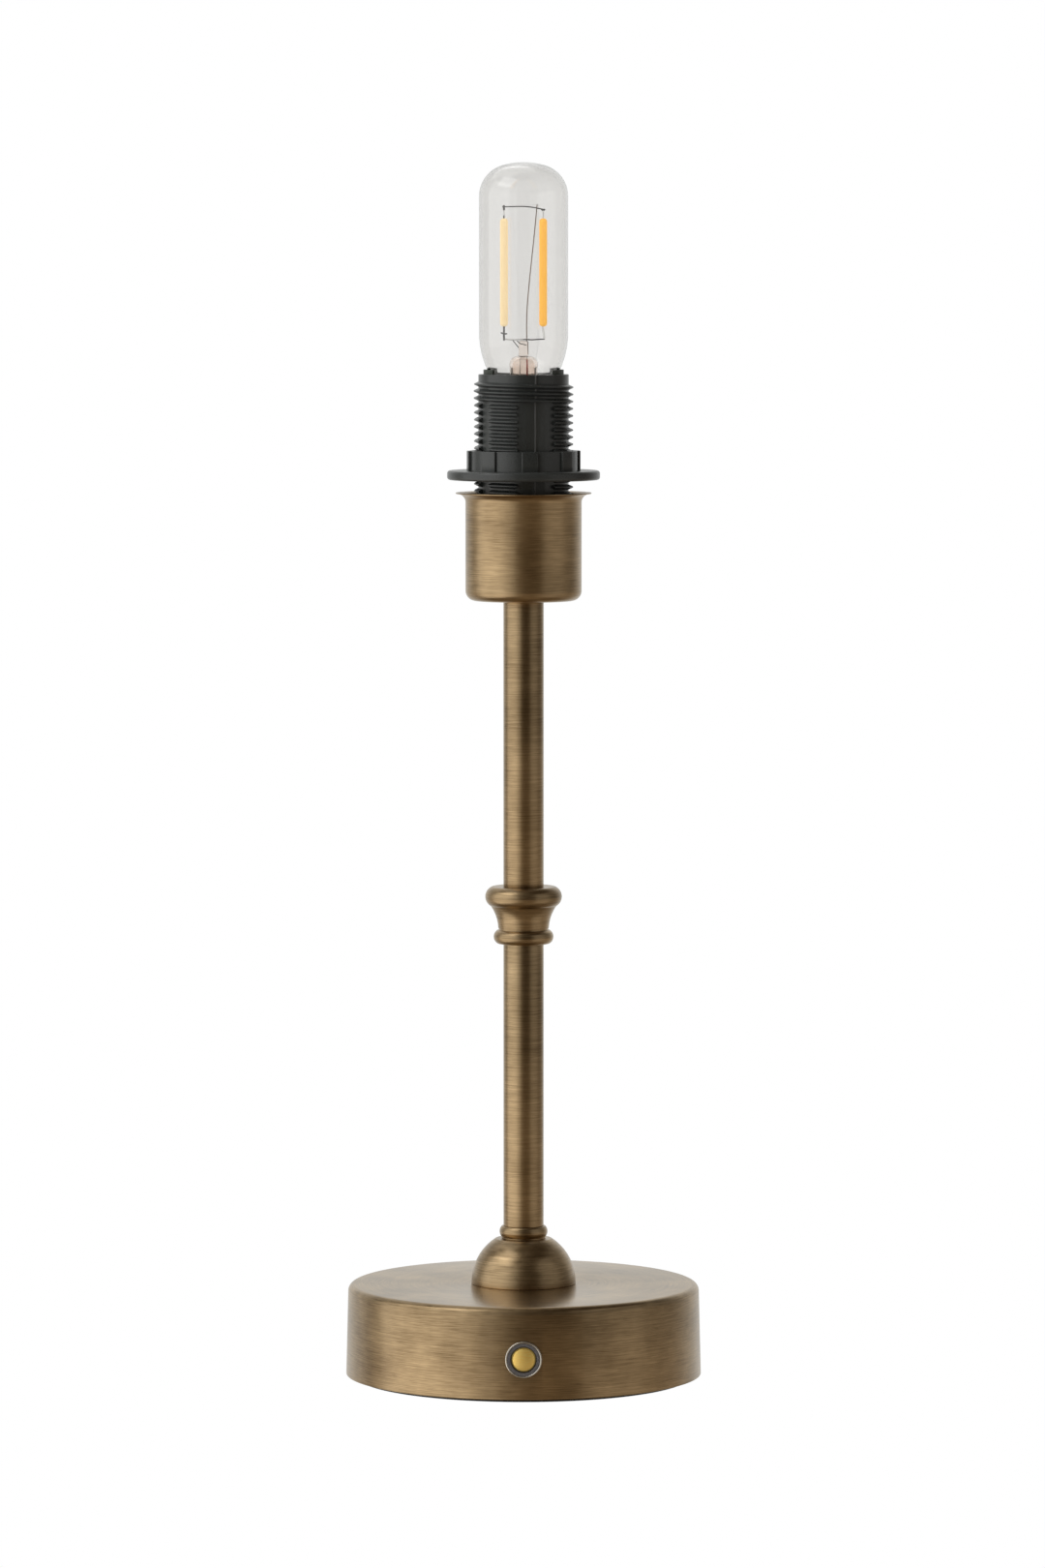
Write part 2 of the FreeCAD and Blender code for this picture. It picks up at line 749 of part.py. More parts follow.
def make_battery():
    """The tray, its two cells, the nickel strips and the tray's screws."""
    half_length = s.cell_length / 2
    rib_outside = cell_offset + rib_reach
    rib_inside = cell_offset - rib_reach
    tray_length = tray_end * 2
    tray_width = (rib_outside + s.tray_rib_wall) * 2
    floor = box("tray_floor", tray_length, tray_width, s.tray_floor, z=plate_top)
    ears = box("tray_ears", (tray_screw_place + s.tray_ear_width / 2) * 2, s.tray_ear_width,
               s.tray_floor, z=plate_top)
    parts = [floor, ears]
    for side in (-1, 1):
        parts.append(box(f"tray_end_{side + 1}", s.tray_wall, tray_width,
                         s.tray_floor + s.tray_end_height,
                         x=(tray_end - s.tray_wall / 2) * side, z=plate_top))
        for rib, middle in (("outer", rib_outside + s.tray_rib_wall / 2),
                            ("inner", rib_inside - s.tray_rib_wall / 2)):
            parts.append(box(f"tray_{rib}_rib_{side + 1}", tray_length, s.tray_rib_wall,
                             s.tray_floor + s.tray_rib_height, y=middle * side, z=plate_top))
        parts.append(box(f"tray_rail_{side + 1}", s.board_rail, s.board_width,
                         s.tray_floor + s.board_lift,
                         x=(s.board_length / 2 - s.board_rail / 2) * side, z=plate_top))
    holes = []
    screws = []
    cells = []
    for side in (-1, 1):
        x = tray_screw_place * side
        holes.append(cylinder(f"tray_hole_{side + 1}", s.screw_radius + s.screw_clearance,
                              s.tray_floor, x, 0, plate_top))
        screw = pan_screw(f"tray_screw_{side + 1}", s.screw_head_radius, s.screw_head_height,
                          s.screw_radius - s.screw_clearance / 2, s.tray_screw_reach)
        level = tray_top + s.screw_head_height
        screws.append(place(screw, x, 0, level, rotation=FreeCAD.Rotation(V(1, 0, 0), 180)))
        cells.append(cylinder(f"cell_{side + 1}", s.cell_radius, s.cell_length, -half_length,
                              cell_offset * side, cell_middle,
                              rotation=FreeCAD.Rotation(V(0, 1, 0), 90)))
    node("battery_tray", cut("battery_tray", fuse("tray_whole", *parts), *holes))
    node("tray_screws", group("tray_screws", *screws))
    node("battery_cells", group("battery_cells", *cells))

    strip_level = cell_middle - s.nickel_width / 2
    strip_middle = half_length + s.nickel_thickness / 2
    strips = [box("nickel_bridge", s.nickel_thickness, (cell_offset + s.nickel_width) * 2,
                  s.nickel_width, x=strip_middle, z=strip_level)]
    for side in (-1, 1):
        strips.append(box(f"nickel_tab_{side + 1}", s.nickel_thickness, s.nickel_width * 2,
                          s.nickel_width, x=-strip_middle, y=cell_offset * side, z=strip_level))
    node("nickel_strips", group("nickel_strips", *strips))


def make_driver_board():
    """The charge and dimmer board with what is soldered on it."""
    level = tray_top + s.board_lift
    node("driver_board", box("driver_board", s.board_length, s.board_width, s.board_thickness,
                             z=level))
    top = level + s.board_thickness
    row = s.board_width / 4
    parts = [
        cylinder("coil", s.coil_radius, s.coil_height, x=-s.coil_place, z=top),
        cylinder("can", s.can_radius, s.can_height, x=s.can_place, y=-row, z=top),
        box("charge_chip", s.chip_length, s.chip_width, s.chip_height,
            x=s.charge_chip_place, y=row, z=top),
        box("dimmer_chip", s.chip_width, s.chip_length, s.chip_height,
            x=-s.dimmer_chip_place, y=row, z=top),
        box("plug_block", s.chip_width, s.chip_length, s.plug_height,
            x=s.plug_place, y=s.plug_offset, z=top),
    ]
    node("board_components", group("board_components", *parts))


def make_button():
    """The push button in the front wall: bezel, light ring, cap, nut and switch."""
    spot = wall_radius - s.button_spot_depth
    flange = s.bezel_flange
    counterbore = s.bezel_radius - s.bezel_rim
    sleeve_bore = s.bezel_sleeve_radius - s.bezel_sleeve_wall
    seat = flange - s.bezel_rim * 2
    bezel = turned("button_bezel", [
        (sleeve_bore, -s.bezel_sleeve_length),
        (s.bezel_sleeve_radius, -s.bezel_sleeve_length),
        (s.bezel_sleeve_radius, 0),
        (s.bezel_radius, 0),
        (s.bezel_radius, flange - s.bezel_rim / 2, s.bezel_rim / 2 * QUARTER_BOW),
        (s.bezel_radius - s.bezel_rim / 2, flange),
        (counterbore, flange),
        (counterbore, seat),
        (sleeve_bore, seat),
    ])
    node("button_bezel", place(bezel, y=-spot, z=s.button_height, rotation=TO_FRONT))

    light_bore = s.button_radius + s.button_gap
    pipe_radius = sleeve_bore - s.light_ring_clearance
    light = turned("light_ring", [
        (light_bore, seat - s.light_ring_depth),
        (pipe_radius, seat - s.light_ring_depth),
        (pipe_radius, seat),
        (counterbore - s.light_ring_clearance, seat),
        (counterbore - s.light_ring_clearance, flange - s.bezel_rim / 4),
        (light_bore, flange - s.bezel_rim / 4),
    ])
    node("light_ring", place(light, y=-spot, z=s.button_height, rotation=TO_FRONT))

    front = flange + s.button_stand
    back = front - s.button_depth
    stem_end = back - s.button_stem_length
    rim = s.button_radius - s.button_chamfer
    cap = turned("button_cap", [
        (0, stem_end),
        (s.button_stem_radius, stem_end),
        (s.button_stem_radius, back),
        (s.button_radius, back),
        (s.button_radius, front - s.button_chamfer),
        (rim, front, -s.button_dish),
        (0, front - s.button_dish),
    ])
    node("button_cap", place(cap, y=-spot, z=s.button_height, rotation=TO_FRONT))

    nut = ring("bezel_nut", s.bezel_nut_radius, s.bezel_sleeve_radius, s.bezel_nut_thickness,
               bezel_nut_seat - s.bezel_nut_thickness - spot)
    node("bezel_nut", place(nut, y=-spot, z=s.button_height, rotation=TO_FRONT))

    plunger_end = stem_end - s.plunger_length
    plunger = turned("switch_plunger", [
        (0, plunger_end),
        (s.plunger_radius, plunger_end),
        (s.plunger_radius, stem_end),
        (0, stem_end),
    ])
    node("switch_plunger", place(plunger, y=-spot, z=s.button_height, rotation=TO_FRONT))

    switch_face = plunger_end + s.switch_overlap
    switch_back = switch_face - s.switch_depth
    body = box("switch_blank", s.switch_width, s.switch_depth, s.switch_width,
               y=-(spot + switch_back + s.switch_depth / 2),
               z=s.button_height - s.switch_width / 2)
    well_depth = s.switch_overlap + s.button_travel + s.button_gap
    well = cylinder("switch_well", s.plunger_radius + s.plunger_clearance, well_depth,
                    y=-(spot + switch_face - well_depth), z=s.button_height, rotation=TO_FRONT)
    node("tact_switch", cut("tact_switch", body, well))

    board_middle = spot + switch_back - s.switch_board_thickness / 2
    board_height = (s.button_height - plate_top) * 2
    node("switch_board", box("switch_board", s.switch_board_width, s.switch_board_thickness,
                             board_height, y=-board_middle, z=plate_top))
    foot_height = s.button_height - s.switch_width / 2 - s.switch_foot_gap - plate_top
    foot = box("switch_foot_blank", s.switch_foot_width, s.switch_foot_depth,
               foot_height, y=-board_middle, z=plate_top)
    slot = box("switch_foot_slot", s.switch_board_width + s.foot_slot_clearance * 2,
               s.switch_board_thickness + s.foot_slot_clearance * 2, foot_height,
               y=-board_middle, z=plate_top)
    node("switch_foot", cut("switch_foot", foot, slot))


def make_inlet():
    """The charging inlet in the back wall, its small board and the block under it."""
    mouth = root(square(wall_radius) - square(s.inlet_width / 2)) - s.inlet_recess
    back = mouth - s.inlet_length
    outside = stadium("inlet_outside", s.inlet_width, s.inlet_thickness, s.inlet_length, back)
    hollow = stadium("inlet_hollow", s.inlet_width - s.inlet_wall * 2,
                     s.inlet_thickness - s.inlet_wall * 2, s.inlet_depth, mouth - s.inlet_depth)
    tongue = box("inlet_tongue", s.tongue_width, s.tongue_length, s.tongue_thickness,
                 y=mouth - s.inlet_depth + s.tongue_length / 2,
                 z=s.button_height - s.tongue_thickness / 2)
    node("charge_inlet", fuse("charge_inlet", cut("inlet_can", outside, hollow), tongue))
    under = s.button_height - s.inlet_thickness / 2
    edge = root(square(top_inner_radius) - square(s.inlet_board_width / 2)) - s.plate_clearance
    middle = edge - s.inlet_board_depth / 2
    board_level = under - s.inlet_board_thickness
    node("inlet_board", box("inlet_board", s.inlet_board_width, s.inlet_board_depth,
                            s.inlet_board_thickness, y=middle, z=board_level))
    node("inlet_block", box("inlet_block", s.inlet_board_width, s.inlet_block_depth,
                            board_level - plate_top, y=middle, z=plate_top))


def make_rod():
    """The hollow threaded rod that pulls the lamp together, with its washers and nuts."""
    rod = ring("threaded_rod", s.rod_radius, s.rod_bore, holder_floor_level - rod_foot)
    node("threaded_rod", place(rod, z=rod_foot))
    washer_level = roof_under - s.washer_thickness
    washer = ring("base_washer", s.washer_radius, rod_hole, s.washer_thickness)
    node("base_washer", place(washer, z=washer_level))
    nut = hexagon_nut("base_nut", s.nut_height)
    node("base_nut", place(nut, z=washer_level - s.nut_height))
    cup_washer = ring("cup_washer", s.cup_washer_radius, rod_hole, s.washer_thickness)
    node("cup_washer", place(cup_washer, z=cup_floor_level))
    cup_nut = hexagon_nut("cup_nut", s.cup_nut_height)
    node("cup_nut", place(cup_nut, z=cup_floor_level + s.washer_thickness))


def make_column():
    """The turned pieces threaded on the rod between the base and the cup."""
    shoulder = s.dome_height - s.dome_foot
    neck_radius = root(square(s.dome_radius) - square(shoulder))
    dome_start = (s.dome_radius, s.dome_foot)
    dome_end = (neck_radius, s.dome_height)
    dome = turned("dome", [
        (rod_hole, 0),
        (s.dome_radius, 0),
        (*dome_start, bow_of(s.dome_radius, dome_start, dome_end)),
        dome_end,
        (rod_hole, s.dome_height),
    ])
    node("dome", place(dome, z=base_height))

    bead_edge = s.neck_bead_radius - s.neck_bead_bow
    bead = turned("neck_bead", [
        (rod_hole, 0),
        (s.neck_groove_radius, 0),
        (s.neck_groove_radius, s.neck_groove),
        (bead_edge, s.neck_groove, s.neck_bead_bow),
        (bead_edge, s.neck_bead_height),
        (rod_hole, s.neck_bead_height),
    ])
    node("neck_bead", place(bead, z=neck_level))

    lower = ring("lower_stem", s.stem_radius, s.stem_bore, s.lower_stem_length)
    node("lower_stem", place(lower, z=lower_stem_level))

    low_edge = s.knop_bead_radius - s.knop_bead_bow
    neck_start = s.knop_bead_height + s.knop_groove
    knop = turned("knop", [
        (rod_hole, 0),
        (low_edge, 0, s.knop_bead_bow),
        (low_edge, s.knop_bead_height),
        (s.knop_groove_radius, s.knop_bead_height),
        (s.knop_groove_radius, neck_start),
        (s.knop_neck_radius, neck_start, -s.knop_neck_bow),
        (s.knop_shoulder_radius, s.knop_shoulder_height, s.knop_crown_bow),
        (s.knop_crown_radius, s.knop_height),
        (rod_hole, s.knop_height),
    ])
    node("knop", place(knop, z=knop_level))

    upper = ring("upper_stem", s.stem_radius, s.stem_bore, s.upper_stem_length)
    node("upper_stem", place(upper, z=upper_stem_level))


def make_cup():
    """The spun cup with a flared lip that hides the foot of the lampholder."""
    flare = s.cup_height - s.cup_flare_height
    inner = cup_radius - s.cup_wall
    inner_corner = s.cup_corner - s.cup_wall
    cup = turned("cup", [
        (rod_hole, 0),
        (cup_radius - s.cup_corner, 0, s.cup_corner * QUARTER_BOW),
        (cup_radius, s.cup_corner),
        (cup_radius, flare, -s.cup_flare_bow),
        (cup_lip_radius, s.cup_height - s.cup_lip_edge),
        (cup_lip_radius, s.cup_height, s.cup_inner_bow),
        (inner, flare),
        (inner, s.cup_floor + inner_corner, -(inner_corner * QUARTER_BOW)),
        (inner - inner_corner, s.cup_floor),
        (rod_hole, s.cup_floor),
    ])
    node("cup", place(cup, z=cup_level))


def make_holder_base():
    """The lower half of the lampholder, screwed on the rod and locked by a grub screw."""
    cavity = holder_bore - s.holder_fit - s.spigot_wall
    spigot = holder_bore - s.holder_fit
    base = turned("holder_base_body", [
        (s.rod_radius, 0),
        (s.holder_base_radius, 0),
        (s.holder_base_radius, s.holder_base_height),
        (spigot, s.holder_base_height),
        (spigot, s.holder_base_height + s.spigot_height),
        (cavity, s.holder_base_height + s.spigot_height),
        (cavity, s.holder_base_floor),
        (s.rod_radius, s.holder_base_floor),
    ])
    place(base, z=holder_level)
    grub_level = holder_level + s.holder_base_floor / 2
    hole = cylinder("grub_hole", s.grub_radius + s.grub_clearance,
                    s.holder_base_radius, z=grub_level, rotation=TO_BACK)
    node("holder_base", cut("holder_base", base, hole))
    grub = cylinder("grub_screw", s.grub_radius, s.grub_length,
                    y=rod_hole, z=grub_level, rotation=TO_BACK)
    node("grub_screw", grub)


def make_holder_barrel():
    """The threaded barrel: rings at the thread's pitch, cut by flats and grooves."""
    top = s.barrel_height
    flank = (s.thread_pitch - s.thread_crest - s.thread_floor) / 2
    turns = math.floor((s.barrel_height - s.rim_band).value / s.thread_pitch.value)
    first = top - s.rim_band - s.thread_pitch * turns
    outline = [(holder_bore, 0), (thread_root, 0)]
    for turn in range(turns):
        foot = first + s.thread_pitch * turn
        outline.append((thread_root, foot))
        outline.append((s.thread_radius, foot + flank))
        outline.append((s.thread_radius, foot + flank + s.thread_crest))
        outline.append((thread_root, foot + flank * 2 + s.thread_crest))
    outline += [(thread_root, top), (holder_bore, top)]
    barrel = place(turned("barrel_body", outline), z=barrel_level)

    tools = []
    depth = s.thread_radius
    cut_height = top - s.full_thread
    for side in (0, 1):
        heading = s.flat_turn - 90.0 + 180.0 * side
        tools.append(turned_box(f"barrel_flat_{side}", depth, s.flat_width, cut_height,
                                flat_distance, -s.flat_width / 2, barrel_level, heading))
        for edge, sign in (("near", -1), ("far", 1)):
            slot_heading = heading + s.slot_turn + s.slot_spread / 2 * (1 + sign)
            tools.append(turned_box(f"barrel_slot_{edge}_{side}", depth, s.slot_width, cut_height,
                                    slot_distance, -s.slot_width / 2, barrel_level,
                                    slot_heading))
    node("holder_barrel", cut("holder_barrel", barrel, *tools))


def make_contact_block():
    """The insulating block in the barrel, with the two tabs that rise at its mouth."""
    outer = holder_bore - s.holder_fit
    bore = shell_bore + s.shell_skin + s.shell_fit
    block = turned("block_body", [
        (0, 0),
        (outer, 0),
        (outer, skirt_top),
        (skirt_bore, skirt_top),
        (skirt_bore, block_height),
        (bore, block_height),
        (bore, block_floor),
        (0, block_floor),
    ])
    place(block, z=block_level)
    collar = place(ring("tab_collar", outer, skirt_bore, s.tab_rise, skirt_top), z=block_level)
    half_spread = s.tab_spread / 2
    wedges = []
    for side, heading in ((0, 0.0), (1, 180.0)):
        wedge = bind(document.addObject("Part::Cylinder", f"tab_wedge_{side}"),
                     Radius=outer * 2, Height=s.tab_rise)
        wedge.setExpression("Angle", f"{s.tab_spread.text} * 1 deg")
        place(wedge, z=block_level + skirt_top)
        wedge.Placement.Rotation = FreeCAD.Rotation(V(0, 0, 1), heading - half_spread.value)
        wedge.setExpression("Placement.Rotation.Angle",
                            f"({(as_size(heading) - half_spread).text}) * 1 deg")
        wedges.append(wedge)
    tabs = common("block_tabs", collar, fuse("tab_wedges", *wedges))
    leaf_hole = cylinder("leaf_post_hole", s.post_radius + s.post_clearance, block_floor,
                         s.contact_post_place, 0, block_level)
    side_hole = cylinder("side_post_hole", s.post_radius + s.post_clearance, block_floor,
                         -s.side_post_place, 0, block_level)
    node("contact_block", cut("contact_block", fuse("block_whole", block, tabs),
                              leaf_hole, side_hole))


def make_contacts():
    """The screw shell that the bulb turns into, the two contacts and their terminals."""
    outer = shell_bore + s.shell_skin
    shell = turned("screw_shell", [
        (outer - s.shell_lip, 0),
        (outer, 0),
        (outer, shell_height),
        (shell_bore, shell_height),
        (shell_bore, s.shell_skin),
        (outer - s.shell_lip, s.shell_skin),
    ])
    shell_level = block_floor_level + s.shell_lift
    node("screw_shell", place(shell, z=shell_level))

    terminal_top = block_level - s.terminal_gap
    leaf_end = s.contact_post_place + s.post_radius
    leaf_length = leaf_end + s.leaf_reach
    leaf_under = leaf_level - s.leaf_thickness
    leaf = box("contact_leaf", leaf_length, s.leaf_width, s.leaf_thickness,
               x=leaf_end - leaf_length / 2, z=leaf_under)
    post = cylinder("contact_post", s.post_radius, leaf_level - terminal_top,
                    s.contact_post_place, 0, terminal_top)
    node("centre_contact", fuse("centre_contact", leaf, post))
    node("side_contact", cylinder("side_contact", s.post_radius, shell_level - terminal_top,
                                  -s.side_post_place, 0, terminal_top))

    blocks = []
    screws = []
    for side, x in (("live", s.contact_post_place), ("neutral", -s.side_post_place)):
        level = terminal_top - s.terminal_height
        blocks.append(box(f"terminal_{side}", s.terminal_width, s.terminal_width,
                          s.terminal_height, x=x, z=level))
        head = cylinder(f"terminal_screw_{side}", s.terminal_screw_radius, s.terminal_screw_head,
                        x, -s.terminal_width / 2, level + s.terminal_height / 2,
                        rotation=TO_FRONT)
        screws.append(head)
    node("terminal_blocks", group("terminal_blocks", *blocks))
    node("terminal_screws", group("terminal_screws", *screws))


def make_shade_ring():
    """The loose ring on the barrel's thread: a flange and a collar with eight grip ribs."""
    edge = s.ring_edge_round
    body = turned("ring_body", [
        (ring_bore, 0),
        (ring_flange_radius - edge, 0, edge * QUARTER_BOW),
        (ring_flange_radius, edge),
        (ring_flange_radius, s.ring_flange - edge, edge * QUARTER_BOW),
        (ring_flange_radius - edge, s.ring_flange),
        (ring_collar_radius, s.ring_flange),
        (ring_collar_radius, s.ring_height),
        (ring_bore, s.ring_height),
    ])
    rib_height = s.ring_height - s.ring_flange / 2
    tube = ring("rib_tube", ring_rib_radius, ring_collar_radius - s.ring_rib_root, rib_height,
                s.ring_flange / 2)
    bars = []
    for number, angle in enumerate(quarter_turns(4, 45.0)):
        bars.append(turned_box(f"rib_bar_{number}", ring_rib_radius * 2, s.ring_rib_width,
                               s.ring_height, -ring_rib_radius, -s.ring_rib_width / 2, 0,
                               s.ring_rib_turn + angle))
    ribs = common("rib_set", tube, fuse("rib_bars", *bars))
    whole = fuse("shade_ring", body, ribs)
    node("shade_ring", place(whole, z=cup_lip_level + s.ring_parking))


def wire_solid(route, bend, radius):
    """A round wire along straight runs joined by tangent arcs in the XZ plane."""
    edges = []
    start = route[0]
    for before, corner, after in zip(route, route[1:], route[2:]):
        inward = (before - corner).normalize()
        outward = (after - corner).normalize()
        half_turn = (math.pi - inward.getAngle(outward)) / 2
        setback = bend * math.tan(half_turn)
        first = corner + inward * setback
        last = corner + outward * setback
        bisector = (inward + outward).normalize()
        middle = corner + bisector * (bend / math.cos(half_turn) - bend)
        edges.append(Part.LineSegment(start, first).toShape())
        edges.append(Part.Arc(first, middle, last).toShape())
        start = last
    edges.append(Part.LineSegment(start, route[-1]).toShape())
    direction = route[1] - route[0]
    section = Part.Wire(Part.makeCircle(radius, route[0], direction))
    return Part.Wire(edges).makePipeShell([section], True, False)


def make_wires():
    """The two wires from the board, up the rod's bore, to the terminals."""
    board_top = tray_top + s.board_lift + s.board_thickness
    terminal_foot = block_level - s.terminal_gap - s.terminal_height
    swing_start = holder_floor_level + s.wire_radius
    for label, side, place_size in (("live_wire", 1, s.contact_post_place),
                                    ("neutral_wire", -1, s.side_post_place)):
        inner_x = s.wire_place.value * side
        outer_x = place_size.value * side
        swing_end = swing_start.value + abs(outer_x - inner_x)
        route = [
            V(inner_x, 0, 0),
            V(inner_x, 0, swing_start.value - board_top.value),
            V(outer_x, 0, swing_end - board_top.value),
            V(outer_x, 0, terminal_foot.value - board_top.value),
        ]
        wire = document.addObject("Part::Feature", label)
        wire.Shape = wire_solid(route, s.wire_bend.value, s.wire_radius.value)
        node(label, place(wire, z=board_top))


def bulb_outline(inset):
    """The glass from its neck to its crown, drawn in by an inset on its inner side."""
    knuckle = s.bulb_dome - s.bulb_crown_rise
    knuckle_place = s.bulb_radius - knuckle
    crown = (square(knuckle_place) + square(s.bulb_dome) - square(knuckle)) \
        / (s.bulb_crown_rise * 2)
    knuckle_level = s.bulb_length - s.bulb_dome
    crown_level = s.bulb_length - crown
    lean = knuckle_place / (crown - knuckle)
    rise = (knuckle_level - crown_level) / (crown - knuckle)
    flank = (s.bulb_radius - inset, s.flank_height)
    straight = (s.bulb_radius - inset, knuckle_level)
    meeting = (lean * (crown - inset), crown_level + rise * (crown - inset))
    top = (as_size(0), s.bulb_length - inset)
    neck = glass_neck_radius - inset
    return [
        (neck, s.cap_height - s.glass_neck_depth),
        (neck, s.cap_height, s.shoulder_bow),
        (shoulder_radius - inset, s.shoulder_height, s.flank_bow),
        flank,
        (*straight, bow_of(knuckle - inset, straight, meeting)),
        (*meeting, bow_of(crown - inset, meeting, top)),
        top,
    ]


def reversed_outline(outline):
    """The same edges walked backwards, for the inner side of a wall."""
    points = [entry[:2] for entry in outline]
    bows = [entry[2] if len(entry) == 3 else None for entry in outline]
    result = []
    for index in range(len(points) - 1, -1, -1):
        bow = bows[index - 1] if index > 0 else None
        result.append(points[index] if bow is None else (*points[index], -bow))
    return result


def make_bulb():
    """The tubular filament bulb, each piece placed from the foot of its tip contact."""
    tip_edge = (s.tip_radius, s.tip_round)
    tip = turned("tip_contact", [
        (0, 0, bow_of(ball_radius(s.tip_radius, s.tip_round), (0, 0), tip_edge)),
        tip_edge,
        (s.tip_radius, s.tip_height),
        (0, s.tip_height),
    ])
    node("tip_contact", place(tip, z=bulb_level))

    insulator_foot = s.tip_height + s.insulator_gap
    insulator = turned("cap_insulator", [
        (0, insulator_foot),
        (s.tip_radius, insulator_foot),
        (insulator_top_radius, insulator_foot + s.insulator_height),
        (0, insulator_foot + s.insulator_height),
    ])
    node("cap_insulator", place(insulator, z=bulb_level))

    make_bulb_cap(insulator_foot + s.insulator_height)

    outside = bulb_outline(as_size(0))
    inside = bulb_outline(s.glass_wall)
    glass = turned("bulb_glass", outside + reversed_outline(inside))
    node("bulb_glass", place(glass, z=bulb_level))

    stem_foot = s.cap_height - s.glass_neck_depth
    round_start = s.stem_glass_height - s.stem_glass_round
    inner = s.stem_glass_radius - s.stem_glass_wall
    neck_bore = glass_neck_radius - s.glass_wall
    flare = turned("glass_stem", [
        (inner, stem_foot),
        (neck_bore, stem_foot),
        (neck_bore, stem_foot + s.stem_glass_wall),
        (s.stem_glass_radius, stem_foot + s.stem_glass_wall * 2),
        (s.stem_glass_radius, round_start, s.stem_glass_radius * QUARTER_BOW),
        (s.tube_glass_radius, s.stem_glass_height),
        (0, s.stem_glass_height),
        (0, s.stem_glass_height - s.stem_glass_wall),
        (s.tube_glass_radius - s.stem_glass_wall / 2, s.stem_glass_height - s.stem_glass_wall,
         -(inner * s.stem_inner_bow)),
        (inner, round_start),
    ])
    node("glass_stem", place(flare, z=bulb_level))
    bead_edge = (s.tube_glass_radius, bead_edge_level)
    bead_top = (as_size(0), bead_top_level)
    bead = turned("stem_bead", [
        (0, s.stem_glass_height),
        (s.tube_glass_radius, s.stem_glass_height),
        (*bead_edge, bow_of(ball_radius(s.tube_glass_radius, s.tube_glass_round),
                            bead_edge, bead_top)),
        bead_top,
    ])
    node("stem_bead", place(bead, z=bulb_level))
    make_filaments()
    make_bulb_driver(insulator_foot + s.insulator_height)


def make_bulb_cap(foot):
    """The metal screw cap, its thread as rounded rings at the thread's pitch."""
    crest = s.cap_thread_radius
    root_radius = cap_root_radius
    middle = (crest + root_radius) / 2
    wave = (crest - root_radius) / 2
    half_pitch = s.cap_pitch / 2
    start = foot + s.cap_lead
    flare_foot = s.cap_height - cap_skirt_radius / 2
    turns = math.floor((flare_foot - start).value / s.cap_pitch.value)
    outline = [
        (cap_bore, foot),
        (insulator_top_radius, foot),
        (middle, start, wave),
    ]
    for turn in range(1, turns * 2):
        sign = -1 if turn % 2 else 1
        outline.append((middle, start + half_pitch * turn, wave * sign))
    thread_end = start + half_pitch * (turns * 2)
    outline += [
        (middle, thread_end),
        (root_radius, flare_foot),
        (cap_skirt_radius - s.cap_skirt_wall, s.cap_height - s.cap_skirt_wall),
        (cap_skirt_radius, s.cap_height),
        (glass_neck_radius, s.cap_height),
        (cap_bore, s.cap_height - s.cap_skirt_wall),
    ]
    node("bulb_cap", place(turned("bulb_cap", outline), z=bulb_level))


def rod_between(name, radius, start, end):
    """A straight round wire from one point to another in the bulb's own frame."""
    first = V(*[as_size(value).value for value in start])
    last = V(*[as_size(value).value for value in end])
    run = last - first
    wire = bind(document.addObject("Part::Cylinder", name), Radius=radius)
    squares = [square(as_size(b) - as_size(a)) for a, b in zip(start, end)]
    bind(wire, Height=root(squares[0] + squares[1] + squares[2]))
    turn = FreeCAD.Rotation(V(0, 0, 1), run)
    return place(wire, start[0], start[1], bulb_level + start[2], rotation=turn)


def make_filaments():
    """Two filaments held between cross wires on a slanting support wire."""
    low = frame_lift
    high = frame_lift + frame_height
    wire = s.frame_wire
    reach = s.frame_reach
    filaments = []
    frame = []
    for side in (-1, 1):
        x = s.filament_place * side
        filament = cylinder(f"filament_{side + 1}", s.filament_radius, filament_length,
                            x, 0, bulb_level + filament_lift)
        filaments.append(filament)
        filament_top = filament_lift + filament_length
        frame.append(cylinder(f"foot_lead_{side + 1}", wire, filament_lift - low, x, 0,
                              bulb_level + low))
        frame.append(cylinder(f"top_lead_{side + 1}", wire, high - filament_top, x, 0,
                              bulb_level + filament_top))
    node("filaments", group("filaments", *filaments))
    frame.append(rod_between("low_cross_wire", wire, (-reach, 0, low), (reach, 0, low)))
    frame.append(rod_between("high_cross_wire", wire, (-reach, 0, high), (reach, 0, high)))
    frame.append(rod_between("support_wire", wire, (s.support_foot_place, 0, bead_top_level),
                             (s.support_top_place, 0, high)))
    node("support_wires", fuse("support_wires", *frame))


def make_bulb_driver(foot):
    """The small driver board inside the cap, and the leads that rise from it."""
    level = bulb_level + foot + s.insulator_gap
    board = box("bulb_driver", s.driver_width, s.driver_thickness, s.driver_length, z=level)
    node("bulb_driver", board)
    top = level + s.driver_length
    end = bulb_level + s.stem_glass_height - s.stem_glass_wall
    leads = []
    for side in (-1, 1):
        leads.append(cylinder(f"lead_{side + 1}", s.lead_radius, end - top,
                              s.lead_place * side, 0, top))
    node("lead_wires", group("lead_wires", *leads))


make_foot()
make_base_shell()
make_battery()
make_driver_board()
make_button()
make_inlet()
make_rod()
make_column()
make_cup()
make_holder_base()
make_holder_barrel()
make_contact_block()
make_contacts()
make_wires()
make_shade_ring()
make_bulb()
document.recompute()

